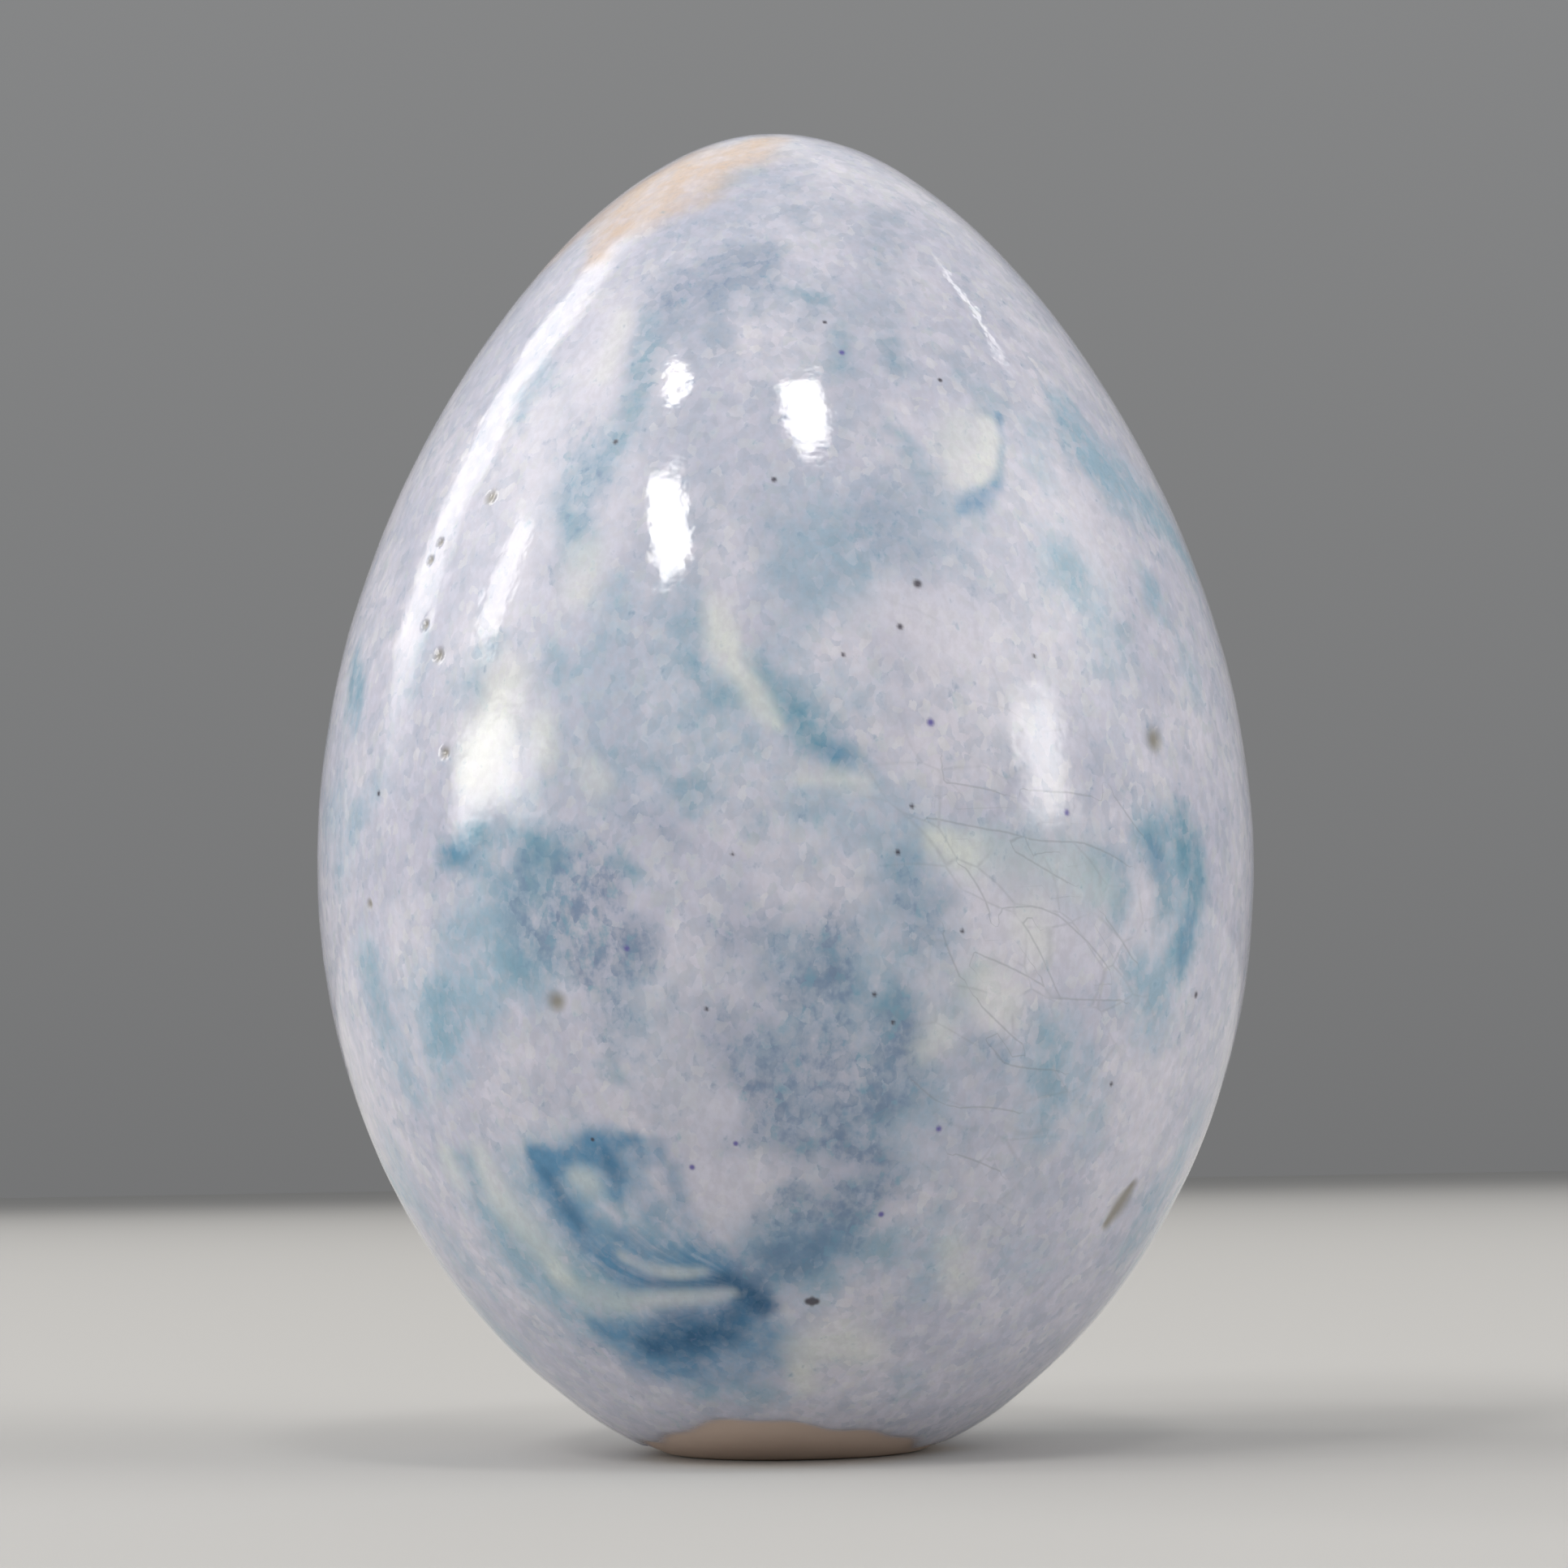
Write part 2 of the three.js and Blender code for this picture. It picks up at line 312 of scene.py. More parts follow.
# Cream and yellow-green, over the blue
CREAM_MARKS = (
    (0.60, (-8, 38, 1.1), (-6.6, 36.6, 1.4), (-4, 35, 1.3), (-2, 33.7, 1.2), (-0.8, 32.9, 0.7)),
    (0.40, (1, 29.9, 0.6), (4.5, 30.2, 1.0), (8.5, 29.8, 0.7)),
    (0.36, (-39, 9, 1.2), (-35, 8.2, 1.4), (-30, 7.95, 1.3), (-25, 7.9, 1.1), (-14, 8.15, 0.9),
     (-9, 8.25, 0.6)),
    (0.42, (-25.5, 9.8, 0.6), (-22.2, 9.4, 0.7), (-17.5, 9.2, 0.7), (-13, 9.3, 0.5)),
    (0.35, (-29.5, 13.3, 0.9), (-28, 13.0, 1.1)),
    (0.50, (31, 47.2, 0.7), (30.2, 46, 1.2), (28.9, 45, 1.2), (27.4, 44.4, 0.8)),
    (0.35, (26.6, 46.7, 1.8), (25.4, 45.5, 2.0), (24.9, 44.4, 1.6)),
    (0.55, (-33.5, 35, 2.4), (-35.5, 33, 2.6), (-37, 31.4, 2.2)),
    (0.50, (-27.6, 33.3, 1.2), (-27.2, 32, 1.4)),
    (0.45, (-21.8, 31.1, 1.0), (-20.6, 30.4, 1.2)),
    (0.40, (-24.5, 41, 1.6), (-25, 39.2, 1.6)),
    (0.35, (-27.5, 53, 1.0), (-28, 50, 1.2)),
    (0.65, (16, 27.7, 1.0), (19.8, 27, 1.6)),
    (0.30, (22, 27, 2.0), (28, 26.6, 2.4), (34, 26.5, 2.4), (38, 25.8, 1.8)),
    (0.40, (28, 24.2, 1.8), (29.5, 23, 1.4)),
    (0.45, (15.5, 18.6, 1.2), (17.8, 19.4, 1.6)),
    (0.50, (-51.3, 14.6, 1.0), (-50.8, 13.4, 1.3)),
    (0.45, (-44.5, 14.4, 1.2), (-43, 12.4, 1.6), (-41, 10.6, 1.8), (-38.5, 9.2, 1.4)),
    (0.50, (3, 5.6, 1.8), (9, 6, 2.2), (13, 5.4, 1.8)),
    (0.55, (2, 4.6, 1.2), (2.6, 3.9, 1.2)),
    (0.40, (24.5, 9.8, 1.4), (27.5, 8.4, 1.6)),
    (0.40, (23, 21.2, 2.2), (26, 20.6, 1.8)),
)

# Clay that shows through thin glaze beside the tip
CLAY_MARKS = (
    (0.85, (-41, 57.2, 1.6), (-43, 58.6, 2.6), (-42, 60.4, 3.2), (-30, 61.8, 3.0), (-14, 62.8, 2.4),
     (-2, 63.6, 1.6)),
    (0.60, (-33, 58.4, 2.2), (-29, 59.8, 2.8), (-16, 61.4, 2.4), (-4, 62.4, 2.0)),
    (0.65, (-75, 57.5, 2.0), (-65, 59.5, 3.0), (-50, 61.5, 3.0), (-40, 63, 2.4)),
    (0.30, (-24, 59.2, 1.8), (-18, 59.6, 2.0)),
    (0.60, (-100, 60, 3.0), (-130, 62, 3.0), (-160, 63, 2.0)),
)

# Where a faint net of crazing shows
CRAZED_MARKS = (
    (1.00, (20, 27, 6.0), (32, 25, 9.0), (38, 22, 8.0)),
    (0.80, (22, 20, 7.0), (30, 17, 7.0), (26, 13, 6.0)),
    (0.50, (24, 38, 8.0), (30, 33, 8.0), (14, 30, 6.0)),
)

# Single cracks in the glaze: the places (turn, height) that each one runs through
CRACKS = (
    ((16.1, 28.6), (20.2, 28.3), (25.3, 28.0), (29.7, 27.7), (34.5, 27.7), (38.1, 27.4), (41.5, 26.9)),
    ((17.5, 30.9), (17.8, 30.2), (19.5, 30.1), (24.5, 29.8)),
    ((28.1, 29.9), (32.3, 29.9), (36.8, 29.8)),
    ((40.0, 29.9), (42.7, 28.8), (44.4, 28.2)),
    ((19.9, 26.5), (21.8, 25.5), (23.2, 24.4)),
    ((26.1, 27.2), (29.7, 26.5), (33.1, 25.9)),
    ((24.4, 24.7), (28.9, 24.8), (33.3, 24.2)),
    ((27.2, 24.1), (29.6, 22.9), (32.5, 21.1)),
    ((31.8, 24.5), (34.9, 23.7), (37.7, 22.9), (39.8, 22.2)),
    ((38.9, 24.4), (41.4, 23.5), (44.1, 22.5)),
    ((17.5, 23.5), (18.7, 22.5), (19.8, 21.7)),
    ((22.0, 22.7), (25.7, 22.2), (31.0, 21.3)),
    ((30.1, 20.9), (35.7, 20.8), (42.8, 20.8)),
    ((21.9, 20.7), (24.4, 19.9), (28.0, 18.9)),
    ((24.0, 18.9), (25.4, 18.3), (27.4, 17.9), (34.1, 17.7)),
    ((14.8, 17.3), (16.8, 16.7), (18.2, 16.4)),
    ((21.1, 16.1), (24.8, 16.1), (28.9, 15.9)),
    ((21.5, 14.1), (25.2, 13.7), (28.1, 13.3)),
)

# Specks of metal in the glaze: (turn, height, size), sizes in millimetres
IRON_SPECKS = (
    (16.3, 39.1, 0.38), (13.7, 37.1, 0.26), (6.9, 35.8, 0.18), (-0.6, 44, 0.24), (8, 52, 0.2),
    (25, 49.2, 0.22), (12.3, 27.1, 0.22), (14, 29.1, 0.2), (19.8, 23.7, 0.18), (57.8, 21.2, 0.3),
    (9.8, 21, 0.2), (12, 19.8, 0.18), (43.5, 17.1, 0.2), (-25.5, 15, 0.18), (-9.2, 20.5, 0.18),
    (-5.7, 27.1, 0.16), (-22.7, 46.3, 0.24), (-54.5, 31, 0.24), (30.3, 36, 0.18),
)
COBALT_SPECKS = (
    (16.5, 32.8, 0.32), (33, 29, 0.28), (10.1, 50.4, 0.26), (-12.7, 13.7, 0.24), (-6.8, 14.7, 0.22),
    (18.7, 15.2, 0.26), (12.3, 11.5, 0.26), (-18, 23.2, 0.24),
)

# Pits that bubbles left in the glaze, stained olive: (turn, height, size)
PITS = (
    (-41.8, 44.4, 0.6), (-45, 37, 0.6), (-42, 32.4, 0.5), (-50, 42.6, 0.35), (-48.8, 38.6, 0.4),
    (-51.2, 41.8, 0.35), (-57, 26, 0.4), (-27.3, 21, 0.75), (48, 32.6, 0.95),
)

# One long pit low on the right and one large iron spot above the foot, both as marks
LONG_PIT = (1.0, (53.3, 10.8, 0.6), (54.5, 11.7, 1.1), (55.5, 12.5, 0.55))
LARGE_SPOT = (1.0, (2.5, 7.7, 0.36), (3.05, 7.7, 0.54), (3.6, 7.7, 0.36))


# Sizes and colours that a user can change

def number_property(name, description, default, **kind):
    """A number that a user can set. Kind is its unit or subtype, where one fits."""
    return bpy.props.FloatProperty(name=name, description=description, default=default, **kind)


def length_property(name, description, default):
    """A length that a user can set, in metres."""
    return number_property(name, description, default, unit="LENGTH")


def colour_property(name, description, default):
    """A colour that a user can pick, as linear red, green and blue."""
    return bpy.props.FloatVectorProperty(
        name=name, description=description, default=default, subtype="COLOR", size=3, min=0.0, max=1.0)


class EggShape(bpy.types.PropertyGroup):
    """Sizes of the egg."""

    height: length_property("Height", "From the foot to the tip", EGG_HEIGHT)
    width: length_property("Width", "Diameter at the widest part", EGG_WIDTH)
    foot: length_property("Foot", "Diameter of the flat spot", 12 * MM)
    taper: number_property(
        "Taper", "How much slimmer the tip's half is than the middle", 0.122, subtype="FACTOR")
    draw_in: number_property(
        "Draw in", "How much both ends draw in from an ellipse", 0.109, subtype="FACTOR")
    foot_round: length_property("Foot round", "Size of the rounding at the foot's rim", 0.4 * MM)
    glaze_line: length_property("Glaze line", "Height at which the glaze ends at the front", 2.0 * MM)
    glaze_bead: length_property("Glaze bead", "How far the glaze swells above its lower edge", 0.14 * MM)
    recess: length_property("Recess", "Depth of the hollow inside the foot's ring", 0.3 * MM)
    slow_ripple: length_property("Slow ripple", "Height of the wide waves in the glaze", 0.07 * MM)
    quick_ripple: length_property("Quick ripple", "Height of the narrow waves in the glaze", 0.028 * MM)
    pit_depth: length_property("Pit depth", "Depth of the pits in the glaze", 0.1 * MM)


class GlazeColours(bpy.types.PropertyGroup):
    """Colours of the glaze, the clay and the specks."""

    ground: colour_property("Ground", "Lavender white of the plain glaze", (0.585, 0.585, 0.70))
    pale: colour_property("Pale", "Pinkish white where the glaze is thick", (0.70, 0.685, 0.78))
    # Haze also paints shade, where its wide marks darken the top and the lower front
    haze_and_shade: colour_property("Haze", "Blue-grey that mottles the plain glaze", (0.395, 0.45, 0.555))
    wash: colour_property("Wash", "Thin blue", (0.33, 0.47, 0.59))
    teal: colour_property("Teal", "Blue-green streaks", (0.17, 0.34, 0.45))
    blue: colour_property("Blue", "Clear blue of the swirl", (0.105, 0.265, 0.44))
    deep: colour_property("Deep", "Dark blue of pooled glaze", (0.010, 0.10, 0.225))
    slate: colour_property("Slate", "Grainy blue-grey", (0.17, 0.245, 0.375))
    cream: colour_property("Cream", "Cream and yellow-green", (0.78, 0.80, 0.74))
    clay: colour_property("Clay", "Bare fired clay", (0.66, 0.52, 0.43))
    iron: colour_property("Iron", "Dark specks", (0.045, 0.035, 0.05))
    cobalt: colour_property("Cobalt", "Violet-blue specks", (0.11, 0.09, 0.36))
    olive: colour_property("Olive", "Brownish-green stain in the pits", (0.24, 0.22, 0.16))
    crack: colour_property("Crack", "Fine lines of the crazing", (0.26, 0.29, 0.33))


class StudioSetup(bpy.types.PropertyGroup):
    """The floor, the light and the camera."""

    floor_colour: colour_property("Floor", "Colour of the floor", (0.53, 0.525, 0.515))
    horizon: number_property("Horizon", "Brightness of the backdrop at the level of the floor", 0.18)
    zenith: number_property("Zenith", "Brightness of the backdrop overhead", 0.38)
    camera_distance: length_property("Camera distance", "From the middle of the egg", 185 * MM)
    camera_elevation: number_property(
        "Camera elevation", "Angle of the camera above the egg's middle", math.radians(-6), subtype="ANGLE")
    camera_roll: number_property(
        "Camera roll", "Lean of the camera to the right", math.radians(1), subtype="ANGLE")
    lens: number_property("Lens", "Focal length in millimetres", 86.1)


class Outline:
    """The egg's outline, in metres. Level runs along the uncut egg's axis, from -1 at its blunt end to 1."""

    LEVEL_STEPS = 100
    HALVINGS = 50

    def __init__(self, shape):
        self.shape = shape
        steps = range(-self.LEVEL_STEPS, self.LEVEL_STEPS + 1)
        widest = max(self.share(step / self.LEVEL_STEPS) for step in steps)
        self.half_middle = shape.width / 2 / widest
        self.foot_level = self.find_foot_level()
        self.half_length = shape.height / (1 - self.foot_level)

    def share(self, level):
        """Radius at a level as a share of the radius at the middle."""
        ends = math.sqrt(max(0.0, 1 - level * level))
        return ends * (1 - self.shape.taper * level - self.shape.draw_in * level * level)

    def find_foot_level(self):
        """Level at which the egg is as wide as its foot, found by halving the blunt half."""
        below, above = -1.0, 0.0
        for _ in range(self.HALVINGS):
            middle = (below + above) / 2
            if self.half_middle * self.share(middle) < self.shape.foot / 2:
                below = middle
            else:
                above = middle
        return above

    def radius(self, height):
        return self.half_middle * self.share(self.foot_level + height / self.half_length)

    def height(self, level):
        return self.half_length * (level - self.foot_level)

    def point(self, turn, height):
        """Place on the egg at a turn in degrees and a height in metres."""
        angle = math.radians(turn)
        radius = self.radius(height)
        return Vector((radius * math.sin(angle), -radius * math.cos(angle), height))


def smooth_step(low, high, value):
    """0 at low, 1 at high and an even curve between them. High may be the smaller one."""
    share = numpy.clip((value - low) / (high - low), 0.0, 1.0)
    return share * share * (3 - 2 * share)


# Modelling the egg

# Steps round the egg, and along its outline: across the foot, up the wall near the foot, and on to the tip
SEGMENTS = 310
FOOT_FLAT_STEPS = 10
FOOT_WALL_STEPS = 22
FOOT_WALL_TOP = 3.6 * MM
WALL_STEPS = 178

# The hollow inside the foot's ring, in shares of the foot's radius: where it starts, and where it is full
RECESS_START = 0.80
RECESS_END = 0.60

RIM_SEGMENTS = 4
MERGE_DISTANCE = 1e-7
WALL_START = 0.51  # radius just outside the flat spot, as a share of the foot's diameter

# Areas with finer faces, for the swirl and for the thin arc at the upper right: lowest and highest turn in
# degrees, lowest and highest height in millimetres
FINE_AREAS = ((-42, 14, 2.5, 16.5), (21, 36, 41.5, 50.2))
FINE_CUTS = 1

# Specks and pits have the finest faces, out to a share of their size and a margin
SPOT_REACH = 0.6
SPOT_MARGIN = 0.3 * MM
SPOT_CUTS = 4

SLOW_RIPPLE_SIZE = 5 * MM
QUICK_RIPPLE_SIZE = 1.5 * MM


def half_outline(outline):
    """Points of the egg's half outline, in the XZ plane, from the middle of the foot to the tip."""
    shape = outline.shape
    foot_radius = shape.foot / 2
    points = []
    for step in range(FOOT_FLAT_STEPS):
        share = step / FOOT_FLAT_STEPS
        hollow = shape.recess * smooth_step(RECESS_START, RECESS_END, share)
        points.append(Vector((foot_radius * share, 0, hollow)))
    for step in range(FOOT_WALL_STEPS):
        height = FOOT_WALL_TOP * step / FOOT_WALL_STEPS
        points.append(Vector((outline.radius(height), 0, height)))
    start = math.asin(outline.foot_level + FOOT_WALL_TOP / outline.half_length)
    for step in range(WALL_STEPS):
        level = math.sin(start + (math.pi / 2 - start) * step / WALL_STEPS)
        height = outline.height(level)
        points.append(Vector((outline.radius(height), 0, height)))
    points.append(Vector((0, 0, shape.height)))
    return points


def spin_egg(points):
    """Draws the outline by extruding a vertex along it, then spins it into a closed egg."""
    bpy.ops.object.select_all(action="DESELECT")
    bpy.ops.mesh.primitive_circle_add(vertices=3, radius=MM, fill_type="NOTHING")
    egg = bpy.context.active_object
    egg.name = "glazed_egg"
    bpy.ops.object.mode_set(mode="EDIT")
    bpy.ops.mesh.select_mode(type="VERT")
    bpy.ops.mesh.select_all(action="SELECT")
    bpy.ops.mesh.merge(type="CENTER")
    bpy.ops.transform.translate(value=points[0])
    for here, there in zip(points, points[1:]):
        bpy.ops.mesh.extrude_region_move(TRANSFORM_OT_translate={"value": there - here})
    bpy.ops.mesh.select_all(action="SELECT")
    bpy.ops.mesh.spin(steps=SEGMENTS, angle=2 * math.pi, center=(0, 0, 0), axis=(0, 0, 1))
    bpy.ops.mesh.select_all(action="SELECT")
    bpy.ops.mesh.remove_doubles(threshold=MERGE_DISTANCE)
    bpy.ops.mesh.normals_make_consistent(inside=False)
    bpy.ops.object.mode_set(mode="OBJECT")
    return egg


def refine(egg, chosen, cuts):
    """Divides the faces whose middle is chosen."""
    bpy.ops.object.mode_set(mode="EDIT")
    bpy.ops.mesh.select_mode(type="FACE")
    bpy.ops.mesh.select_all(action="DESELECT")
    mesh = bmesh.from_edit_mesh(egg.data)
    for face in mesh.faces:
        face.select_set(chosen(face.calc_center_median()))
    bmesh.update_edit_mesh(egg.data)
    bpy.ops.mesh.subdivide(number_cuts=cuts)
    bpy.ops.object.mode_set(mode="OBJECT")


def settle_on_outline(egg, outline):
    """Puts the vertices that dividing made back on the round wall."""
    for vertex in egg.data.vertices:
        radius = math.hypot(vertex.co.x, vertex.co.y)
        if vertex.co.z > 0 and radius > WALL_START * outline.shape.foot:
            scale = outline.radius(vertex.co.z) / radius
            vertex.co.x *= scale
            vertex.co.y *= scale


def round_foot_rim(egg, shape):
    """Bevels the edge between the flat spot and the wall."""
    bpy.ops.object.mode_set(mode="EDIT")
    bpy.ops.mesh.select_mode(type="EDGE")
    bpy.ops.mesh.select_all(action="DESELECT")
    mesh = bmesh.from_edit_mesh(egg.data)
    close = 0.01 * MM
    for edge in mesh.edges:
        on_rim = all(
            abs(end.co.z) < close and abs(math.hypot(end.co.x, end.co.y) - shape.foot / 2) < close
            for end in edge.verts)
        edge.select_set(on_rim)
    bmesh.update_edit_mesh(egg.data)
    bpy.ops.mesh.bevel(offset=shape.foot_round, segments=RIM_SEGMENTS, affect="EDGES", clamp_overlap=True)
    bpy.ops.object.mode_set(mode="OBJECT")


def displace(egg, distance, weights, texture=None):
    """Moves the surface out by a distance, weighed at each vertex and by a texture, and applies it."""
    group = egg.vertex_groups.new(name="weights")
    for index in numpy.flatnonzero(weights):
        group.add([int(index)], float(weights[index]), "REPLACE")
    modifier = egg.modifiers.new("displace", "DISPLACE")
    modifier.strength = distance
    modifier.vertex_group = group.name
    modifier.mid_level = 0.0
    if texture:
        modifier.texture = texture
        modifier.texture_coords = "LOCAL"
        modifier.mid_level = 0.5
    bpy.ops.object.modifier_apply(modifier=modifier.name)
    egg.vertex_groups.clear()


def cloud_texture(name, size):
    texture = bpy.data.textures.new(name, "CLOUDS")
    texture.noise_scale = size
    texture.noise_depth = 1
    return texture


def make_egg(shape):
    """The bare egg, with finer faces where its glaze has fine marks."""
    outline = Outline(shape)
    egg = spin_egg(half_outline(outline))
    round_foot_rim(egg, shape)

    def in_fine_area(place):
        turn = math.degrees(math.atan2(place.x, -place.y))
        return any(
            left < turn < right and low < place.z / MM < high for left, right, low, high in FINE_AREAS)

    specks = IRON_SPECKS + COBALT_SPECKS + PITS + LONG_PIT[1:] + LARGE_SPOT[1:]
    spots = [(outline.point(turn, height * MM), size * MM) for turn, height, size in specks]

    def at_spot(place):
        return any((place - middle).length < SPOT_MARGIN + SPOT_REACH * size for middle, size in spots)

    refine(egg, in_fine_area, FINE_CUTS)
    refine(egg, at_spot, SPOT_CUTS)
    settle_on_outline(egg, outline)
    return egg, outline


# Painting the glaze on the vertices

class GlazePainter:
    """Works out how much of each pigment lies at each vertex. Lengths are in millimetres."""

    PATH_STEPS = 4
    WANDER_SEED = 4
    DRIFTS = ((5.0, 0.4), (1.8, 0.25))  # size and amount of each shift
    FEATHERS = ((1.8, 0.3), (0.9, 0.4))
    TINY = 1e-9

    def __init__(self, egg, outline):
        noise.seed_set(self.WANDER_SEED)
        self.mesh = egg.data
        self.outline = outline
        flat = numpy.empty(3 * len(self.mesh.vertices))
        self.mesh.vertices.foreach_get("co", flat)
        self.places = flat.reshape(-1, 3) / MM
        self.turns = numpy.degrees(numpy.arctan2(self.places[:, 0], -self.places[:, 1]))
        self.heights = self.places[:, 2]
        self.drifted = self.shifted(self.places, self.DRIFTS)
        self.feathered = self.shifted(self.drifted, self.FEATHERS)

    def wander(self, size, amount):
        """A smooth random shift of each vertex, by up to about amount, that changes over a length of size."""
        return amount * numpy.array([noise.noise_vector(Vector(place) / size) for place in self.places])

    def shifted(self, places, shifts):
        for size, amount in shifts:
            places = places + self.wander(size, amount)
        return places

    def path(self, places):
        """Points and widths along a smooth curve through the places of a mark."""
        ends = [places[0], *places, places[-1]]
        curve = []
        for before, here, there, after in zip(ends, ends[1:], ends[2:], ends[3:]):
            for step in range(self.PATH_STEPS):
                share = step / self.PATH_STEPS
                curve.append([spline(share, *four) for four in zip(before, here, there, after)])
        curve.append(places[-1])
        points = [numpy.array(self.outline.point(turn, height * MM)) / MM for turn, height, _ in curve]
        return points, [width for _, _, width in curve]

    def gaps(self, points, widths, spots):
        """Each spot's distance from a path, negative to its right, and the path's half width there."""
        nearest = numpy.full(len(spots), numpy.inf)
        half_widths = numpy.ones(len(spots))
        for start, end, start_width, end_width in zip(points, points[1:], widths, widths[1:]):
            along = end - start
            away = spots - start
            share = numpy.clip(away @ along / max(along @ along, self.TINY), 0, 1)
            gap = numpy.linalg.norm(away - share[:, None] * along, axis=1)
            left = numpy.sum(numpy.cross(along, away) * spots * (1, 1, 0), axis=1) >= 0
            half_width = (start_width + share * (end_width - start_width)) / 2
            closer = gap < abs(nearest)
            nearest[closer] = numpy.where(left, gap, -gap)[closer]
            half_widths[closer] = half_width[closer]
        return nearest, half_widths

    def beside(self, curve, spots):
        """Each spot's distance from a smooth curve through places (turn, height), negative to its right."""
        gap, _ = self.gaps(*self.path([(turn, height, 1) for turn, height in curve]), spots)
        return gap

    def lay(self, mark, soft, places):
        """How much pigment a mark leaves at each vertex. Soft is the share of its width that fades."""
        strength, *stops = mark
        points, widths = self.path(stops)
        reach = max(widths) / 2 * (1 + soft)
        low = numpy.min(points, axis=0) - reach
        high = numpy.max(points, axis=0) + reach
        near = numpy.flatnonzero(numpy.all((places > low) & (places < high), axis=1))
        gap, half_width = self.gaps(points, widths, places[near])
        laid = numpy.zeros(len(places))
        laid[near] = strength * smooth_step(1 + soft, 1 - soft, abs(gap) / half_width)
        return laid

    def lay_all(self, marks, soft, places):
        """Several marks of one pigment, laid over each other."""
        clear = numpy.ones(len(places))
        for mark in marks:
            clear *= 1 - self.lay(mark, soft, places)
        return 1 - clear

    def store(self, name, values):
        attribute = self.mesh.attributes.new(name, "FLOAT", "POINT")
        attribute.data.foreach_set("value", values.astype(numpy.float32))


def spline(share, before, here, there, after):
    """A value on a smooth curve from here to there, which heads on from before and towards after."""
    slope_here = (there - before) / 2
    slope_there = (after - here) / 2
    rise = there - here
    square = share * share
    return here + slope_here * share + (3 * rise - 2 * slope_here - slope_there) * square + (
        slope_here + slope_there - 2 * rise) * square * share


def speck_marks(specks):
    """Specks as marks of one place."""
    return tuple((1.0, speck, speck) for speck in specks)


# Runs of glaze on the sides and the back, which go on in the manner of the front: degrees and millimetres
BACK_SEED = 3
BACK_TURNS = (82, 274)
BACK_RUNS = 60
RUN_HEIGHTS = (6, 57)
RUN_OVERSHOOT = 1
RUN_PLACES = (4, 6)
RUN_STEPS = (1.2, 2.8)
RUN_HEADING = (-1.1, 0.5)  # middle and spread, in radians above level
RUN_BEND = (0, 0.3)
RUN_WIDTHS = (3.0, 6.6)
RUN_THIN = 0.4  # width at a run's ends, as a share of its width at the middle
RUN_STRENGTHS = (0.4, 0.75)
EDGE_TURN = 5  # how far a run's cream edge lies to the right of its core, and above it
EDGE_RISE = 0.8

# Patches of haze and of pale glaze between the runs
BACK_PATCHES = 16
PATCH_STRENGTHS = (0.4, 0.6)
PATCH_WIDTHS = {"haze_and_shade": (4, 7), "pale": (3, 5)}

# Specks on the sides and the back
IRON_SEED = 55
BACK_IRON = 16
COBALT_SEED = 89
BACK_COBALT = 8
SPECK_HEIGHTS = (8, 54)
SPECK_SIZES = (0.25, 0.4)

# What a run carries besides its wash: the pigment, the chance of it, the range of its strength, and its width
# as a share of the run's
Extra = namedtuple("Extra", "pigment chance strengths width")
CORE_EXTRAS = (Extra("teal", 0.5, (0.3, 0.65), 0.36), Extra("blue", 0.2, (0.4, 0.7), 0.3))
EDGE_EXTRAS = (Extra("cream", 0.35, (0.35, 0.6), 0.35),)
END_EXTRAS = (Extra("slate", 0.5, (0.45, 0.7), 0.9),)


def run_path(draw, outline):
    """Places (turn, height) along one slanting run of glaze."""
    turn = draw.uniform(*BACK_TURNS)
    height = draw.uniform(*RUN_HEIGHTS)
    heading = draw.gauss(*RUN_HEADING)
    step = draw.uniform(*RUN_STEPS)
    lowest = RUN_HEIGHTS[0] - RUN_OVERSHOOT
    highest = RUN_HEIGHTS[1] + RUN_OVERSHOOT
    places = []
    for _ in range(draw.randint(*RUN_PLACES)):
        places.append((turn, height))
        radius = outline.radius(height * MM) / MM
        turn += math.degrees(step * math.cos(heading) / radius)
        height = min(highest, max(lowest, height + step * math.sin(heading)))
        heading += draw.gauss(*RUN_BEND)
    return places


def run_mark(strength, places, width):
    """A mark that is widest at its middle and thins out towards its ends."""
    last = len(places) - 1
    swells = [math.sin(math.pi * index / last) for index in range(last + 1)]
    widths = [width * (RUN_THIN + (1 - RUN_THIN) * swell) for swell in swells]
    return (strength, *((turn, height, wide) for (turn, height), wide in zip(places, widths)))


def back_runs(seed, outline):
    """Marks of each pigment that carry the marbling on round the sides and the back."""
    draw = random.Random(seed)
    marks = defaultdict(list)
    for _ in range(BACK_RUNS):
        places = run_path(draw, outline)
        core = places[1:-1]
        edge = [(turn + EDGE_TURN, height + EDGE_RISE) for turn, height in core]
        end = places[-3:]
        width = draw.uniform(*RUN_WIDTHS)
        marks["wash"].append(run_mark(draw.uniform(*RUN_STRENGTHS), places, width))
        for extras, part in ((CORE_EXTRAS, core), (EDGE_EXTRAS, edge), (END_EXTRAS, end)):
            for extra in extras:
                if draw.random() < extra.chance:
                    strength = draw.uniform(*extra.strengths)
                    marks[extra.pigment].append(run_mark(strength, part, extra.width * width))
    for _ in range(BACK_PATCHES):
        for pigment, widths in PATCH_WIDTHS.items():
            strength = draw.uniform(*PATCH_STRENGTHS)
            places = run_path(draw, outline)
            marks[pigment].append(run_mark(strength, places, draw.uniform(*widths)))
    return marks


def back_specks(seed, count):
    """Specks scattered over the sides and the back."""
    draw = random.Random(seed)
    return tuple(
        (draw.uniform(*BACK_TURNS), draw.uniform(*SPECK_HEIGHTS), draw.uniform(*SPECK_SIZES))
        for _ in range(count))


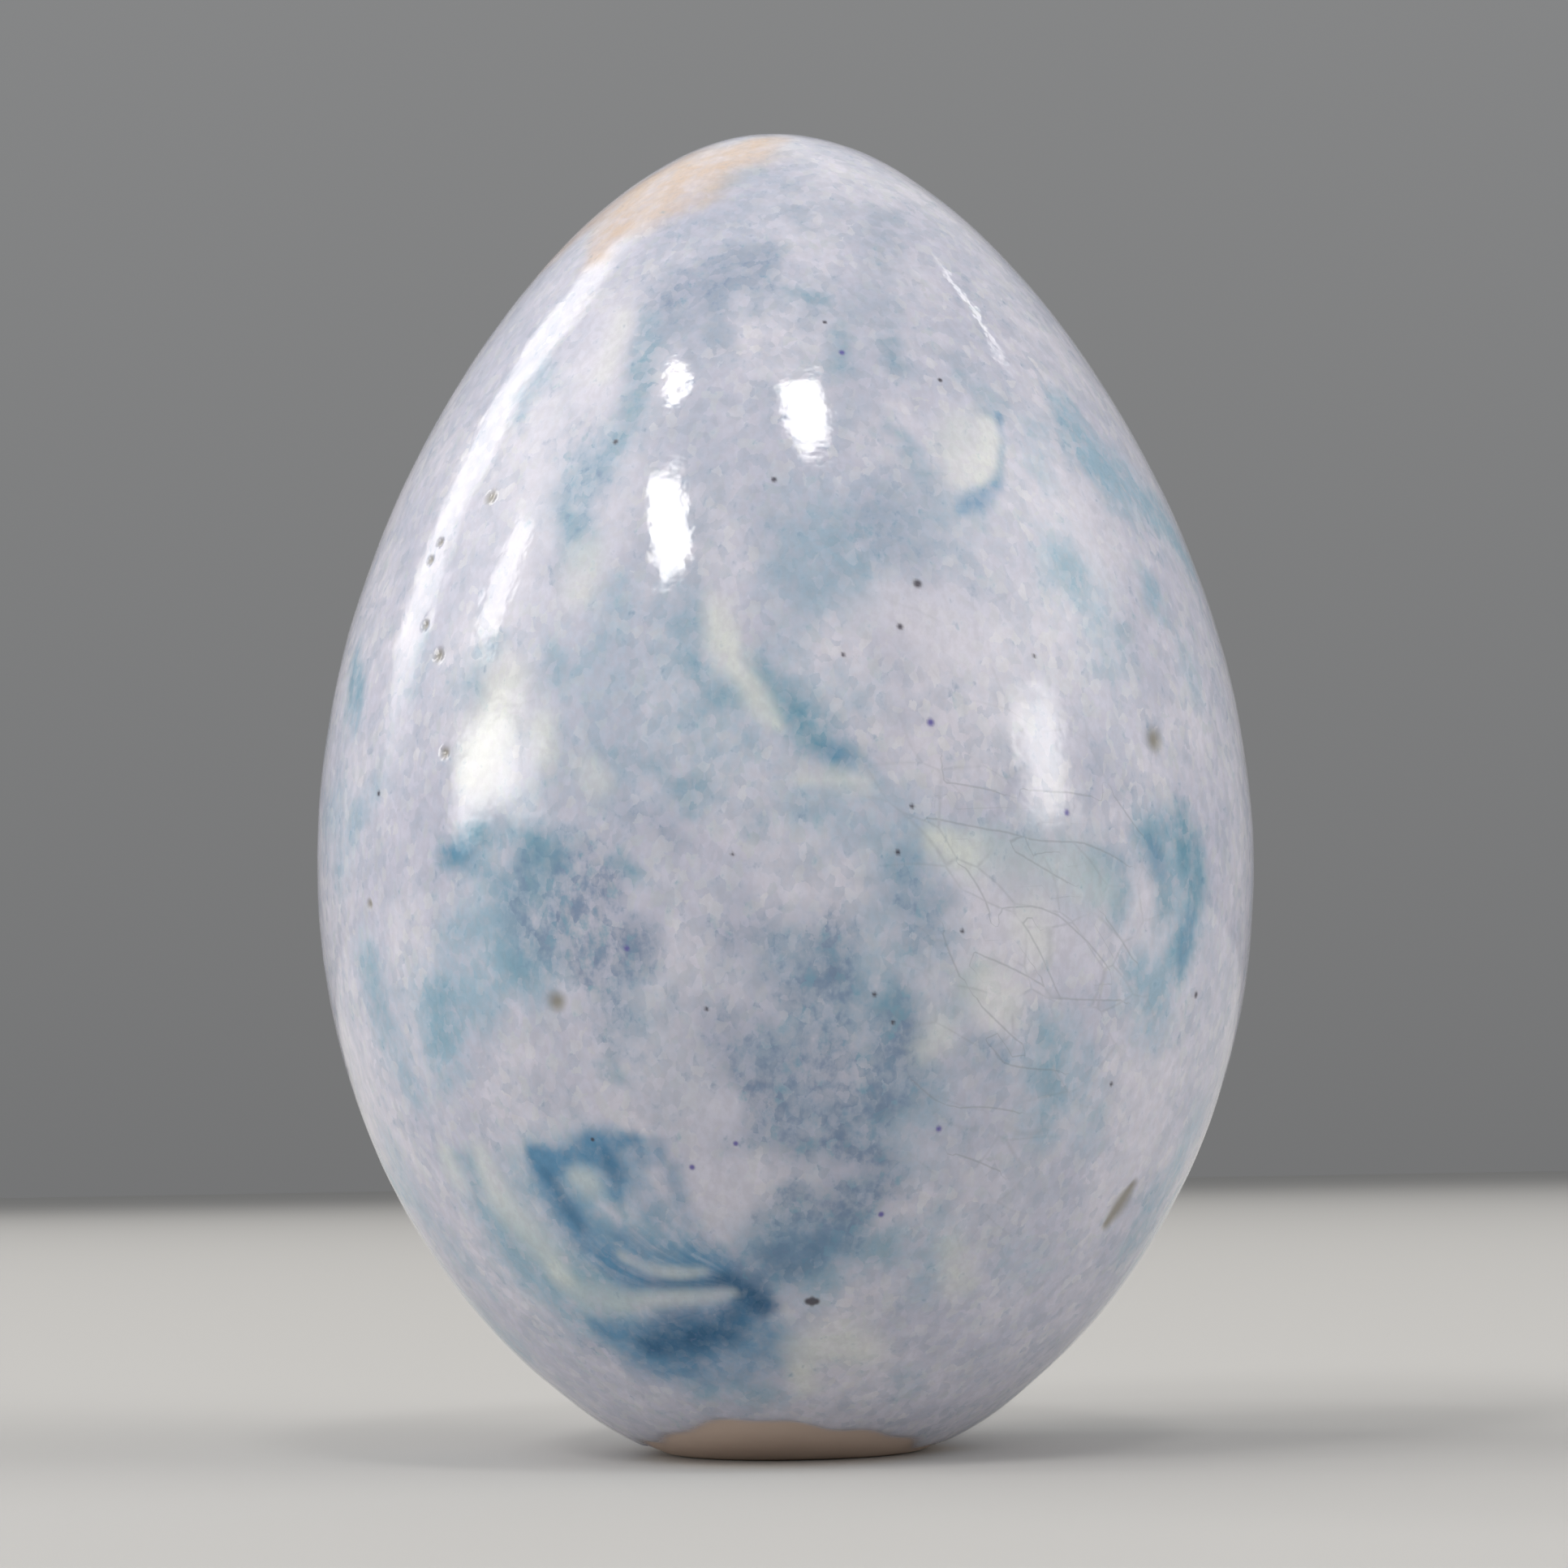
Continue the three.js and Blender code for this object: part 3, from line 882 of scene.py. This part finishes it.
# Where the swirl's streaks fade, each from none to full: by turn in degrees, by the distance between its two
# curves in millimetres, where that is wide and where it is narrow, and by the distance from its outer curve
SWIRL_TURNS = (-6, -11)
SWIRL_WIDE = (11, 7)
SWIRL_NARROW = (1.2, 3.6)
SWIRL_RIM = (-1.0, 0.2)

CRACK_REACH = (0.9, 0.5)


def lay_swirl(painter):
    """How strongly the swirl's streaks show, and how far out among them each vertex lies, from 0 to 1."""
    inside = painter.beside(SWIRL_INSIDE, painter.drifted)
    outside = painter.beside(SWIRL_OUTSIDE, painter.drifted)
    across = abs(inside) + abs(outside)
    shown = smooth_step(*SWIRL_WIDE, across) * smooth_step(*SWIRL_NARROW, across)
    shown = shown * smooth_step(*SWIRL_RIM, outside) * smooth_step(*SWIRL_TURNS, painter.turns)
    return shown, abs(inside) / across


def lay_cracks(painter):
    """Each vertex's distance from the nearest crack, signed for its side, and 1 where that is close by."""
    nearest = numpy.full(len(painter.places), numpy.inf)
    for crack in CRACKS:
        gap = painter.beside(crack, painter.places)
        closer = abs(gap) < abs(nearest)
        nearest[closer] = gap[closer]
    return nearest, smooth_step(*CRACK_REACH, abs(nearest))


# The glaze's lower edge, in shares of the glaze line's height: at the back, how much it rises at the front,
# and waves, each given by its height, its count round the egg and its shift in radians
GLAZE_EDGE_BACK = 0.28
GLAZE_EDGE_FRONT = 0.68
GLAZE_EDGE_WAVES = ((0.10, 3, 0.6), (0.06, 7, 2), (0.04, 17, 0))
FRONT_SHIFT = 0.15
FRONT_NARROWING = 2.5


def glaze_edge(shape, turns):
    """Height of the glaze's lower edge in millimetres, highest at the front. Turns are in degrees."""
    angle = numpy.radians(turns)
    front = numpy.maximum(0, numpy.cos(angle + FRONT_SHIFT)) ** FRONT_NARROWING
    waves = sum(height * numpy.cos(count * angle + shift) for height, count, shift in GLAZE_EDGE_WAVES)
    return shape.glaze_line / MM * (GLAZE_EDGE_BACK + GLAZE_EDGE_FRONT * front + waves)


# How soft the specks and pits are, and where the bare clay, the glaze's bead and the ripples come and go:
# from none to full, in millimetres above the glaze's edge, and above the foot for the ripples
IRON_SOFT = 0.5
COBALT_SOFT = 0.6
PIT_SOFT = 0.9
BARE_CLAY = (0.15, -0.15)
BEAD_BELOW = (-0.05, 0.2)
BEAD_ABOVE = (3.0, 0.4)
RIPPLES = (0.5, 6.0)
RING_BLEND = 0.05  # share of the foot's radius over which the ring's clay fades, at each side


def paint_pigments(painter):
    """The marks of the front and the runs of the back, one pigment after another."""
    back = back_runs(BACK_SEED, painter.outline)
    for name, marks, soft, places in (
        # haze: blue-grey glaze, and partly painted shade at the top and the lower front
        ("haze_and_shade", HAZE_AND_SHADE_MARKS, 1.0, painter.feathered),
        ("wash", WASH_MARKS, 1.0, painter.feathered),
        ("pale", PALE_MARKS, 0.9, painter.feathered),
        ("slate", SLATE_MARKS, 1.0, painter.feathered),
        ("teal", TEAL_MARKS, 1.0, painter.feathered),
        ("blue", BLUE_MARKS, 0.9, painter.drifted),
        ("deep", DEEP_MARKS, 0.9, painter.drifted),
        ("cream", CREAM_MARKS, 0.9, painter.drifted),
        ("clay", CLAY_MARKS, 1.0, painter.feathered),
        ("crazed", CRAZED_MARKS, 1.0, painter.places),
    ):
        painter.store(name, painter.lay_all([*marks, *back[name]], soft, places))


def paint_lines(painter):
    """The swirl's streaks and the single cracks."""
    shown, streak = lay_swirl(painter)
    painter.store("swirl", shown)
    painter.store("streak", streak)
    gap, close = lay_cracks(painter)
    painter.store("crack_gap", gap)
    painter.store("crack_close", close)


def paint_specks(painter):
    """Specks of iron and cobalt, and the pits, whose share at each vertex is given back."""
    iron = speck_marks(IRON_SPECKS + back_specks(IRON_SEED, BACK_IRON)) + (LARGE_SPOT,)
    cobalt = speck_marks(COBALT_SPECKS + back_specks(COBALT_SEED, BACK_COBALT))
    pits = painter.lay_all(speck_marks(PITS) + (LONG_PIT,), PIT_SOFT, painter.places)
    painter.store("iron", painter.lay_all(iron, IRON_SOFT, painter.places))
    painter.store("cobalt", painter.lay_all(cobalt, COBALT_SOFT, painter.places))
    painter.store("pit", pits)
    return pits


def paint_foot(painter, shape):
    """Bare clay on the foot's ring. The share of the glaze's bead at each vertex is given back."""
    above = painter.heights - glaze_edge(shape, painter.turns)
    radius = numpy.hypot(painter.places[:, 0], painter.places[:, 1])
    on_ring = smooth_step(
        RECESS_END + RING_BLEND, RECESS_START - RING_BLEND, radius / (shape.foot / 2 / MM))
    painter.store("bare", smooth_step(*BARE_CLAY, above) * on_ring)
    return smooth_step(*BEAD_BELOW, above) * smooth_step(*BEAD_ABOVE, above)


def paint_egg(egg, outline):
    """Paints the glaze on the egg's vertices, then swells, ripples and pits its surface."""
    shape = outline.shape
    painter = GlazePainter(egg, outline)
    paint_pigments(painter)
    paint_lines(painter)
    pits = paint_specks(painter)
    bead = paint_foot(painter, shape)
    wall = smooth_step(*RIPPLES, painter.heights)
    displace(egg, shape.slow_ripple, wall, cloud_texture("slow ripple", SLOW_RIPPLE_SIZE))
    displace(egg, shape.quick_ripple, wall, cloud_texture("quick ripple", QUICK_RIPPLE_SIZE))
    displace(egg, shape.glaze_bead, bead)
    displace(egg, -shape.pit_depth, pits)
    bpy.ops.object.shade_smooth()


# Glaze material

class Nodes:
    """Adds nodes to a tree, feeds them and lays them out in columns."""

    ROWS = 12
    ROW_HEIGHT = 220
    COLUMN_WIDTH = 260

    def __init__(self, tree):
        self.tree = tree
        self.tree.nodes.clear()
        self.count = 0

    def add(self, kind, feeds=(), **settings):
        node = self.tree.nodes.new(kind)
        column, row = divmod(self.count, self.ROWS)
        node.location = (self.COLUMN_WIDTH * column, -self.ROW_HEIGHT * row)
        self.count += 1
        for name, value in settings.items():
            setattr(node, name, value)
        for socket, value in dict(feeds).items():
            self.feed(node.inputs[socket], value)
        return node

    def feed(self, socket, value):
        if isinstance(value, bpy.types.NodeSocket):
            self.tree.links.new(value, socket)
        else:
            socket.default_value = value

    def math(self, operation, *values, clamp=False):
        node = self.add("ShaderNodeMath", enumerate(values), operation=operation, use_clamp=clamp)
        return node.outputs[0]

    def vector(self, operation, *values):
        return self.add("ShaderNodeVectorMath", enumerate(values), operation=operation).outputs["Vector"]

    def scale(self, vector, factor):
        node = self.add("ShaderNodeVectorMath", {"Vector": vector, "Scale": factor}, operation="SCALE")
        return node.outputs["Vector"]

    def noise(self, place, size, detail=3.0, roughness=0.5):
        """Noise whose lumps are about size millimetres across."""
        return self.add("ShaderNodeTexNoise", {
            "Vector": place, "Scale": 1 / size, "Detail": detail, "Roughness": roughness})

    def ramp(self, value, low, high, out_low=0.0, out_high=1.0):
        """An even curve from out_low at low to out_high at high. High may be the smaller one."""
        node = self.add("ShaderNodeMapRange", {
            0: value, 1: low, 2: high, 3: out_low, 4: out_high}, interpolation_type="SMOOTHSTEP")
        return node.outputs[0]

    def mix(self, share, under, over):
        node = self.add("ShaderNodeMix", {0: share, 6: under, 7: over}, data_type="RGBA")
        return node.outputs[2]

    def around_zero(self, value):
        return self.math("SUBTRACT", value, 0.5)

    def total(self, start, *weighed):
        """Start plus a sum of values, each given with its weight."""
        for value, weight in weighed:
            start = self.math("MULTIPLY_ADD", value, weight, start)
        return start

    def attribute(self, name):
        return self.add("ShaderNodeAttribute", attribute_name=name).outputs["Fac"]


# A layer of pigment: the colour and attribute that it takes, how strong it is, and how much the lumps, the
# chips, the crumbs and the swirl's streaks make it uneven
Layer = namedtuple("Layer", "pigment strength lumps chips crumbs streaks")
LAYERS = (
    # The haze layer is partly painted shade, at the top and the lower front
    Layer("haze_and_shade", 0.9, 1.6, 0.5, 1.2, 0.0),
    Layer("wash", 1.1, 1.8, 0.4, 1.2, 1.0),
    Layer("pale", 1.0, 1.5, 0.2, 0.4, 0.6),
    Layer("slate", 0.7, 1.6, 0.3, 1.6, 0.5),
    Layer("teal", 1.0, 1.3, 0.4, 1.2, 1.0),
    Layer("blue", 1.0, 1.0, 0.2, 0.6, 1.3),
    Layer("deep", 1.0, 1.0, 0.2, 0.6, 1.3),
    Layer("cream", 1.0, 1.2, 0.3, 0.6, 1.5),
    Layer("clay", 1.0, 1.8, 0.3, 0.6, 0.0),
)

# Grain of the glaze, in millimetres
CRUMB_SIZE = 0.42
CHIP_SIZE = 0.42
CHIP_SMEAR = 0.4
LUMP_SIZE = 1.4
CLOUD_SIZE = 4.5
GRAIN_STRETCH = (1.0, 1.0, 0.75)
STREAKS = 20
STREAK_LENGTH = 8.3

# Where the grain shows in the plain glaze, each from none to full, and the most of it
PINK_CLOUDS = (0.38, 0.64)
MOTTLE = (-0.28, 0.34)
MOTTLE_MOST = 0.6
CREAM_CHIPS = (0.1, 0.5)
CREAM_MOST = 0.22
FLECKS = (0.16, 0.8)
FLECKS_MOST = 0.65
TEAL_FLECKS = (0.0, 0.4)
TONE_GRAIN = (-0.2, 0.2)
TONES = (0.93, 1.06)

# How much the crumbs and the chips add to the mottle's lumps, and how much of what adds up to a fleck
MOTTLE_CRUMBS = 0.6
MOTTLE_CHIPS = 0.3
FLECK_LUMPS = 0.8
FLECK_CHIPS = 0.2
FLECK_CRUMBS = 1.7
FLECK_SLATE = 0.5

# Crazing, in millimetres
CRAZE_CELL = 2.3
CRAZE_DIRECTION = (0.88, 0.0, -0.47)
CRAZE_STRETCH = 0.5
CRAZE_BEND = 1.2
CRAZE_BEND_SIZE = 5.0
CRAZE_GAP_SIZE = 3.0
CRAZE_GAPS = (0.42, 0.6)
CRAZE_MOST = 0.26
CRACK_WIDTH = 0.08
CRACK_WAVER = 0.15
CRACK_MOST = 0.38

# Stains of the pits and the specks: the attribute, the colour and the most of it
STAINS = (("pit", "olive", 0.8), ("cobalt", "cobalt", 0.9), ("iron", "iron", 0.9))

# Finish
GLAZE_IOR = 1.5
GLAZE_ROUGHNESS = 0.05
CLAY_ROUGHNESS = 0.75
WAVE_SIZE = 0.9
WAVE_HEIGHT = 0.015

Grain = namedtuple("Grain", "crumbs lumps chips tints clouds streaks")


class GlazeNodes(Nodes):
    """The nodes of the glaze: each method lays one thing over the colour so far."""

    def __init__(self, tree, colours):
        super().__init__(tree)
        self.colours = colours
        spot = self.add("ShaderNodeTexCoord").outputs["Object"]
        self.place = self.scale(spot, 1 / MM)
        self.grain = self.make_grain()

    def rgb(self, name):
        return (*getattr(self.colours, name), 1.0)

    def make_grain(self):
        """Textures that make the glaze uneven: all but the clouds lie around zero."""
        upright = self.vector("MULTIPLY", self.place, GRAIN_STRETCH)
        fine = self.noise(upright, CRUMB_SIZE, roughness=0.6).outputs
        smeared = self.vector("ADD", upright, self.scale(fine[1], CHIP_SMEAR))
        cells = self.add("ShaderNodeTexVoronoi", {"Vector": smeared, "Scale": 1 / CHIP_SIZE}).outputs["Color"]
        cell = self.add("ShaderNodeSeparateColor", {0: cells}).outputs
        return Grain(
            crumbs=self.around_zero(fine[0]),
            lumps=self.around_zero(self.noise(self.place, LUMP_SIZE, roughness=0.6).outputs[0]),
            chips=self.around_zero(cell[0]),
            tints=self.around_zero(cell[1]),
            clouds=self.noise(upright, CLOUD_SIZE, roughness=0.55).outputs[0],
            streaks=self.swirl_streaks())

    def swirl_streaks(self):
        """Thin streaks that follow the swirl."""
        streak = self.math("MULTIPLY", self.attribute("streak"), STREAKS)
        bristles = self.add("ShaderNodeTexNoise", {
            "Vector": self.scale(self.place, 1 / STREAK_LENGTH), "W": streak, "Scale": 1.0, "Detail": 3.0,
            "Roughness": 0.6}, noise_dimensions="4D").outputs[0]
        return self.math("MULTIPLY", self.around_zero(bristles), self.attribute("swirl"))

    def plain_glaze(self):
        """Lavender white with pinkish clouds, a blue-grey mottle and cream chips."""
        grain = self.grain
        colour = self.mix(self.ramp(grain.clouds, *PINK_CLOUDS), self.rgb("ground"), self.rgb("pale"))
        mottle = self.total(grain.lumps, (grain.crumbs, MOTTLE_CRUMBS), (grain.chips, MOTTLE_CHIPS))
        colour = self.mix(self.ramp(mottle, *MOTTLE, 0.0, MOTTLE_MOST), colour, self.rgb("haze_and_shade"))
        return self.mix(self.ramp(grain.tints, *CREAM_CHIPS, 0.0, CREAM_MOST), colour, self.rgb("cream"))

    def pigments(self, colour):
        """The painted marks, one layer of pigment after another."""
        grain = self.grain
        for layer in LAYERS:
            uneven = self.total(
                1.0, (grain.lumps, layer.lumps), (grain.chips, layer.chips), (grain.crumbs, layer.crumbs),
                (grain.streaks, layer.streaks))
            laid = self.math("MULTIPLY", self.attribute(layer.pigment), layer.strength)
            share = self.math("MULTIPLY", laid, uneven, clamp=True)
            colour = self.mix(share, colour, self.rgb(layer.pigment))
        return colour

    def flecks(self, colour):
        """Fine slate and teal flecks, thickest in the slate mottling, and a fine change of tone."""
        grain = self.grain
        chance = self.total(
            0.0, (grain.lumps, FLECK_LUMPS), (grain.chips, FLECK_CHIPS), (grain.crumbs, FLECK_CRUMBS),
            (self.attribute("slate"), FLECK_SLATE))
        fleck = self.mix(self.ramp(grain.tints, *TEAL_FLECKS), self.rgb("slate"), self.rgb("teal"))
        colour = self.mix(self.ramp(chance, *FLECKS, 0.0, FLECKS_MOST), colour, fleck)
        return self.scale(colour, self.ramp(grain.crumbs, *TONE_GRAIN, *TONES))

    def craze_net(self):
        """A faint, broken net of crazing, whose cells are drawn out along one direction."""
        along = self.add("ShaderNodeVectorMath", {
            0: self.place, 1: CRAZE_DIRECTION}, operation="DOT_PRODUCT").outputs["Value"]
        shift = self.math("MULTIPLY", along, -CRAZE_STRETCH)
        drawn_out = self.vector("MULTIPLY_ADD", CRAZE_DIRECTION, shift, self.place)
        bend = self.scale(self.noise(self.place, CRAZE_BEND_SIZE, 1).outputs[1], CRAZE_BEND)
        bent = self.vector("ADD", drawn_out, bend)
        edges = self.add("ShaderNodeTexVoronoi", {
            "Vector": bent, "Scale": 1 / CRAZE_CELL}, feature="DISTANCE_TO_EDGE").outputs["Distance"]
        lines = self.ramp(self.math("MULTIPLY", edges, CRAZE_CELL), CRACK_WIDTH, 0.0)
        gaps = self.noise(self.place, CRAZE_GAP_SIZE, 1).outputs[0]
        broken = self.ramp(gaps, *CRAZE_GAPS, 0.0, CRAZE_MOST)
        return self.math("MULTIPLY", lines, self.math("MULTIPLY", self.attribute("crazed"), broken))

    def cracks(self, colour):
        """The single cracks and the net of crazing."""
        wavering = self.total(self.attribute("crack_gap"), (self.grain.lumps, CRACK_WAVER))
        lines = self.ramp(self.math("ABSOLUTE", wavering), CRACK_WIDTH, 0.0, 0.0, CRACK_MOST)
        single = self.math("MULTIPLY", lines, self.attribute("crack_close"))
        return self.mix(self.math("MAXIMUM", self.craze_net(), single), colour, self.rgb("crack"))

    def specks(self, colour):
        """Stained pits, and specks of cobalt and iron."""
        for name, pigment, most in STAINS:
            stain = self.math("MULTIPLY", self.attribute(name), most)
            colour = self.mix(stain, colour, self.rgb(pigment))
        return colour


def make_glaze(colours):
    """Glossy marbled glaze that leaves the clay bare at the foot."""
    material = bpy.data.materials.new("marbled glaze")
    material.use_nodes = True
    nodes = GlazeNodes(material.node_tree, colours)
    colour = nodes.plain_glaze()
    for lay in (nodes.pigments, nodes.flecks, nodes.cracks, nodes.specks):
        colour = lay(colour)
    bare = nodes.attribute("bare")
    colour = nodes.mix(bare, colour, nodes.rgb("clay"))
    roughness = nodes.ramp(bare, 0.0, 1.0, GLAZE_ROUGHNESS, CLAY_ROUGHNESS)
    waves = nodes.noise(nodes.place, WAVE_SIZE, 2).outputs[0]
    bump = nodes.add("ShaderNodeBump", {"Height": waves, "Distance": WAVE_HEIGHT * MM, "Strength": 1.0})
    surface = nodes.add("ShaderNodeBsdfPrincipled", {
        "Base Color": colour, "Roughness": roughness, "Normal": bump.outputs[0], "IOR": GLAZE_IOR})
    nodes.add("ShaderNodeOutputMaterial", {"Surface": surface.outputs[0]})
    return material


# Studio

FLOOR_RADIUS = 8.0
FLOOR_SIDES = 128
LIGHT_DISTANCE = 2.0
WINDOW_COLOUR = (1.0, 0.975, 0.94)
BACKDROP_COLOUR = (0.98, 0.99, 1.0, 1.0)

# A window is one area light: its name, its azimuth from the camera and its elevation as seen from the egg,
# the angles that it spans across and up, its tilt, all in degrees, its brightness, and the share of it that
# fades out towards its edges
Window = namedtuple("Window", "name azimuth elevation across up tilt brightness soft")
WINDOWS = (
    Window("front window", 14, 61, 10, 13, 8, 15, 0.55),
    Window("left window", -36, 45, 9, 20, 30, 15, 0.55),
    Window("small window", -51, 62, 8, 7, 0, 15, 0.6),
    Window("left strip", -119, 34, 17, 60, 24, 3.3, 0.7),
    Window("upper left panel", -85, 32, 9, 18, 0, 5.0, 0.5),
    Window("lower left panel", -77, 12, 26, 18, 20, 7.0, 0.65),
    Window("left glow", -64, 12, 17, 20, 12, 4.0, 0.8),
    Window("right strip", 119, 50.5, 3, 17, -57, 4.0, 0.7),
    Window("right panel", 65, 13, 18, 23, 8, 6.8, 0.7),
    Window("left fill", -80, 38, 70, 60, 0, 2.0, 0.8),
    Window("right fill", 72, 32, 70, 60, 0, 2.2, 0.8),
    Window("back fill", 180, 52, 80, 50, 0, 0.45, 0.8),
)


def make_floor(colour):
    """A wide, pale, matt floor."""
    bpy.ops.object.select_all(action="DESELECT")
    bpy.ops.mesh.primitive_circle_add(vertices=FLOOR_SIDES, radius=FLOOR_RADIUS, fill_type="NGON")
    floor = bpy.context.active_object
    floor.name = "studio_floor"
    material = bpy.data.materials.new("studio paper")
    material.use_nodes = True
    paper = material.node_tree.nodes["Principled BSDF"]
    paper.inputs["Base Color"].default_value = (*colour, 1.0)
    paper.inputs["Roughness"].default_value = 1.0
    paper.inputs["Specular IOR Level"].default_value = 0.0
    floor.data.materials.append(material)


def soften(light, soft):
    """Fades a light towards its edges."""
    light.data.use_nodes = True
    nodes = Nodes(light.data.node_tree)
    across = nodes.add("ShaderNodeNewGeometry").outputs["Parametric"]
    sides = nodes.add("ShaderNodeSeparateXYZ", {0: across}).outputs
    shares = []
    for side in (sides["X"], sides["Y"]):
        away = nodes.math("ABSOLUTE", nodes.math("SUBTRACT", side, 0.5))
        shares.append(nodes.ramp(away, 0.5, 0.5 - soft / 2))
    strength = nodes.math("MULTIPLY", *shares)
    emission = nodes.add("ShaderNodeEmission", {"Strength": strength})
    nodes.add("ShaderNodeOutputLight", {"Surface": emission.outputs[0]})


def direction(azimuth, elevation):
    """Where something stands as seen from the egg. Azimuth is from the front, positive to the right."""
    level = math.cos(elevation)
    return Vector((math.sin(azimuth) * level, -math.cos(azimuth) * level, math.sin(elevation)))


def face_egg(piece, away, roll):
    """Turns a light or a camera, which stands in a direction away from the egg, towards it."""
    piece.rotation_mode = "QUATERNION"
    piece.rotation_quaternion = away.to_track_quat("Z", "Y") @ Quaternion((0, 0, 1), roll)


def hang_window(window, target):
    """An area light that faces the egg."""
    away = direction(math.radians(window.azimuth), math.radians(window.elevation))
    width = 2 * LIGHT_DISTANCE * math.tan(math.radians(window.across / 2))
    height = 2 * LIGHT_DISTANCE * math.tan(math.radians(window.up / 2))
    bpy.ops.object.light_add(type="AREA", location=target + away * LIGHT_DISTANCE)
    light = bpy.context.active_object
    light.name = window.name
    face_egg(light, away, math.radians(window.tilt))
    light.data.shape = "RECTANGLE"
    light.data.size = width
    light.data.size_y = height
    light.data.energy = window.brightness * math.pi * width * height
    light.data.color = WINDOW_COLOUR
    light.visible_camera = False
    soften(light, window.soft)


def place_camera(studio, target):
    """A camera in front of the egg, which looks at its middle."""
    away = direction(0, studio.camera_elevation)
    bpy.ops.object.camera_add(location=target + away * studio.camera_distance)
    camera = bpy.context.active_object
    face_egg(camera, away, -studio.camera_roll)
    camera.data.lens = studio.lens
    camera.data.clip_start = MM
    bpy.context.scene.camera = camera


def light_backdrop(studio):
    """An even backdrop that is brighter overhead."""
    world = bpy.data.worlds.new("studio backdrop")
    world.use_nodes = True
    nodes = Nodes(world.node_tree)
    ray = nodes.add("ShaderNodeTexCoord").outputs["Generated"]
    rise = nodes.add("ShaderNodeSeparateXYZ", {0: ray}).outputs["Z"]
    brightness = nodes.add("ShaderNodeMapRange", {0: rise, 3: studio.horizon, 4: studio.zenith}).outputs[0]
    backdrop = nodes.add("ShaderNodeBackground", {"Color": BACKDROP_COLOUR, "Strength": brightness})
    nodes.add("ShaderNodeOutputWorld", {"Surface": backdrop.outputs[0]})
    bpy.context.scene.world = world
    bpy.context.scene.view_settings.view_transform = "Standard"


class EGG_OT_make_egg(bpy.types.Operator):
    """Model the egg and paint its glaze"""

    bl_idname = "ceramic_egg.make_egg"
    bl_label = "Glazed egg"

    def execute(self, context):
        egg, outline = make_egg(context.scene.egg_shape)
        paint_egg(egg, outline)
        egg.data.materials.append(make_glaze(context.scene.egg_glaze))
        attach(egg, "root")
        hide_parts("egg")
        return {"FINISHED"}


class EGG_OT_make_stage(bpy.types.Operator):
    """Set up the floor, the lights and the camera"""

    bl_idname = "ceramic_egg.make_stage"
    bl_label = "Studio"

    def execute(self, context):
        studio = context.scene.egg_studio
        target = Vector((0, 0, EGG_HEIGHT / 2))
        make_floor(studio.floor_colour)
        for window in WINDOWS:
            hang_window(window, target)
        place_camera(studio, target)
        light_backdrop(studio)
        return {"FINISHED"}


class EGG_PT_panel(bpy.types.Panel):
    """Sizes and colours of the egg, and the buttons that make it"""

    bl_idname = "EGG_PT_panel"
    bl_label = "Ceramic egg"
    bl_space_type = "VIEW_3D"
    bl_region_type = "UI"
    bl_category = "Egg"

    def draw(self, context):
        layout = self.layout
        for title, group, operator in (
            ("Shape", context.scene.egg_shape, None),
            ("Glaze", context.scene.egg_glaze, EGG_OT_make_egg),
            ("Studio", context.scene.egg_studio, EGG_OT_make_stage),
        ):
            box = layout.box()
            box.label(text=title)
            for name in group.bl_rna.properties.keys():
                if name not in ("rna_type", "name"):
                    box.prop(group, name)
            if operator:
                box.operator(operator.bl_idname)


CLASSES = (EggShape, GlazeColours, StudioSetup, EGG_OT_make_egg, EGG_OT_make_stage, EGG_PT_panel)


def register():
    for item in CLASSES:
        bpy.utils.register_class(item)
    bpy.types.Scene.egg_shape = bpy.props.PointerProperty(type=EggShape)
    bpy.types.Scene.egg_glaze = bpy.props.PointerProperty(type=GlazeColours)
    bpy.types.Scene.egg_studio = bpy.props.PointerProperty(type=StudioSetup)


def unregister():
    del bpy.types.Scene.egg_studio
    del bpy.types.Scene.egg_glaze
    del bpy.types.Scene.egg_shape
    for item in reversed(CLASSES):
        bpy.utils.unregister_class(item)


def main():
    register()
    bpy.ops.ceramic_egg.make_stage()
    bpy.ops.ceramic_egg.make_egg()


if __name__ == "__main__":
    main()
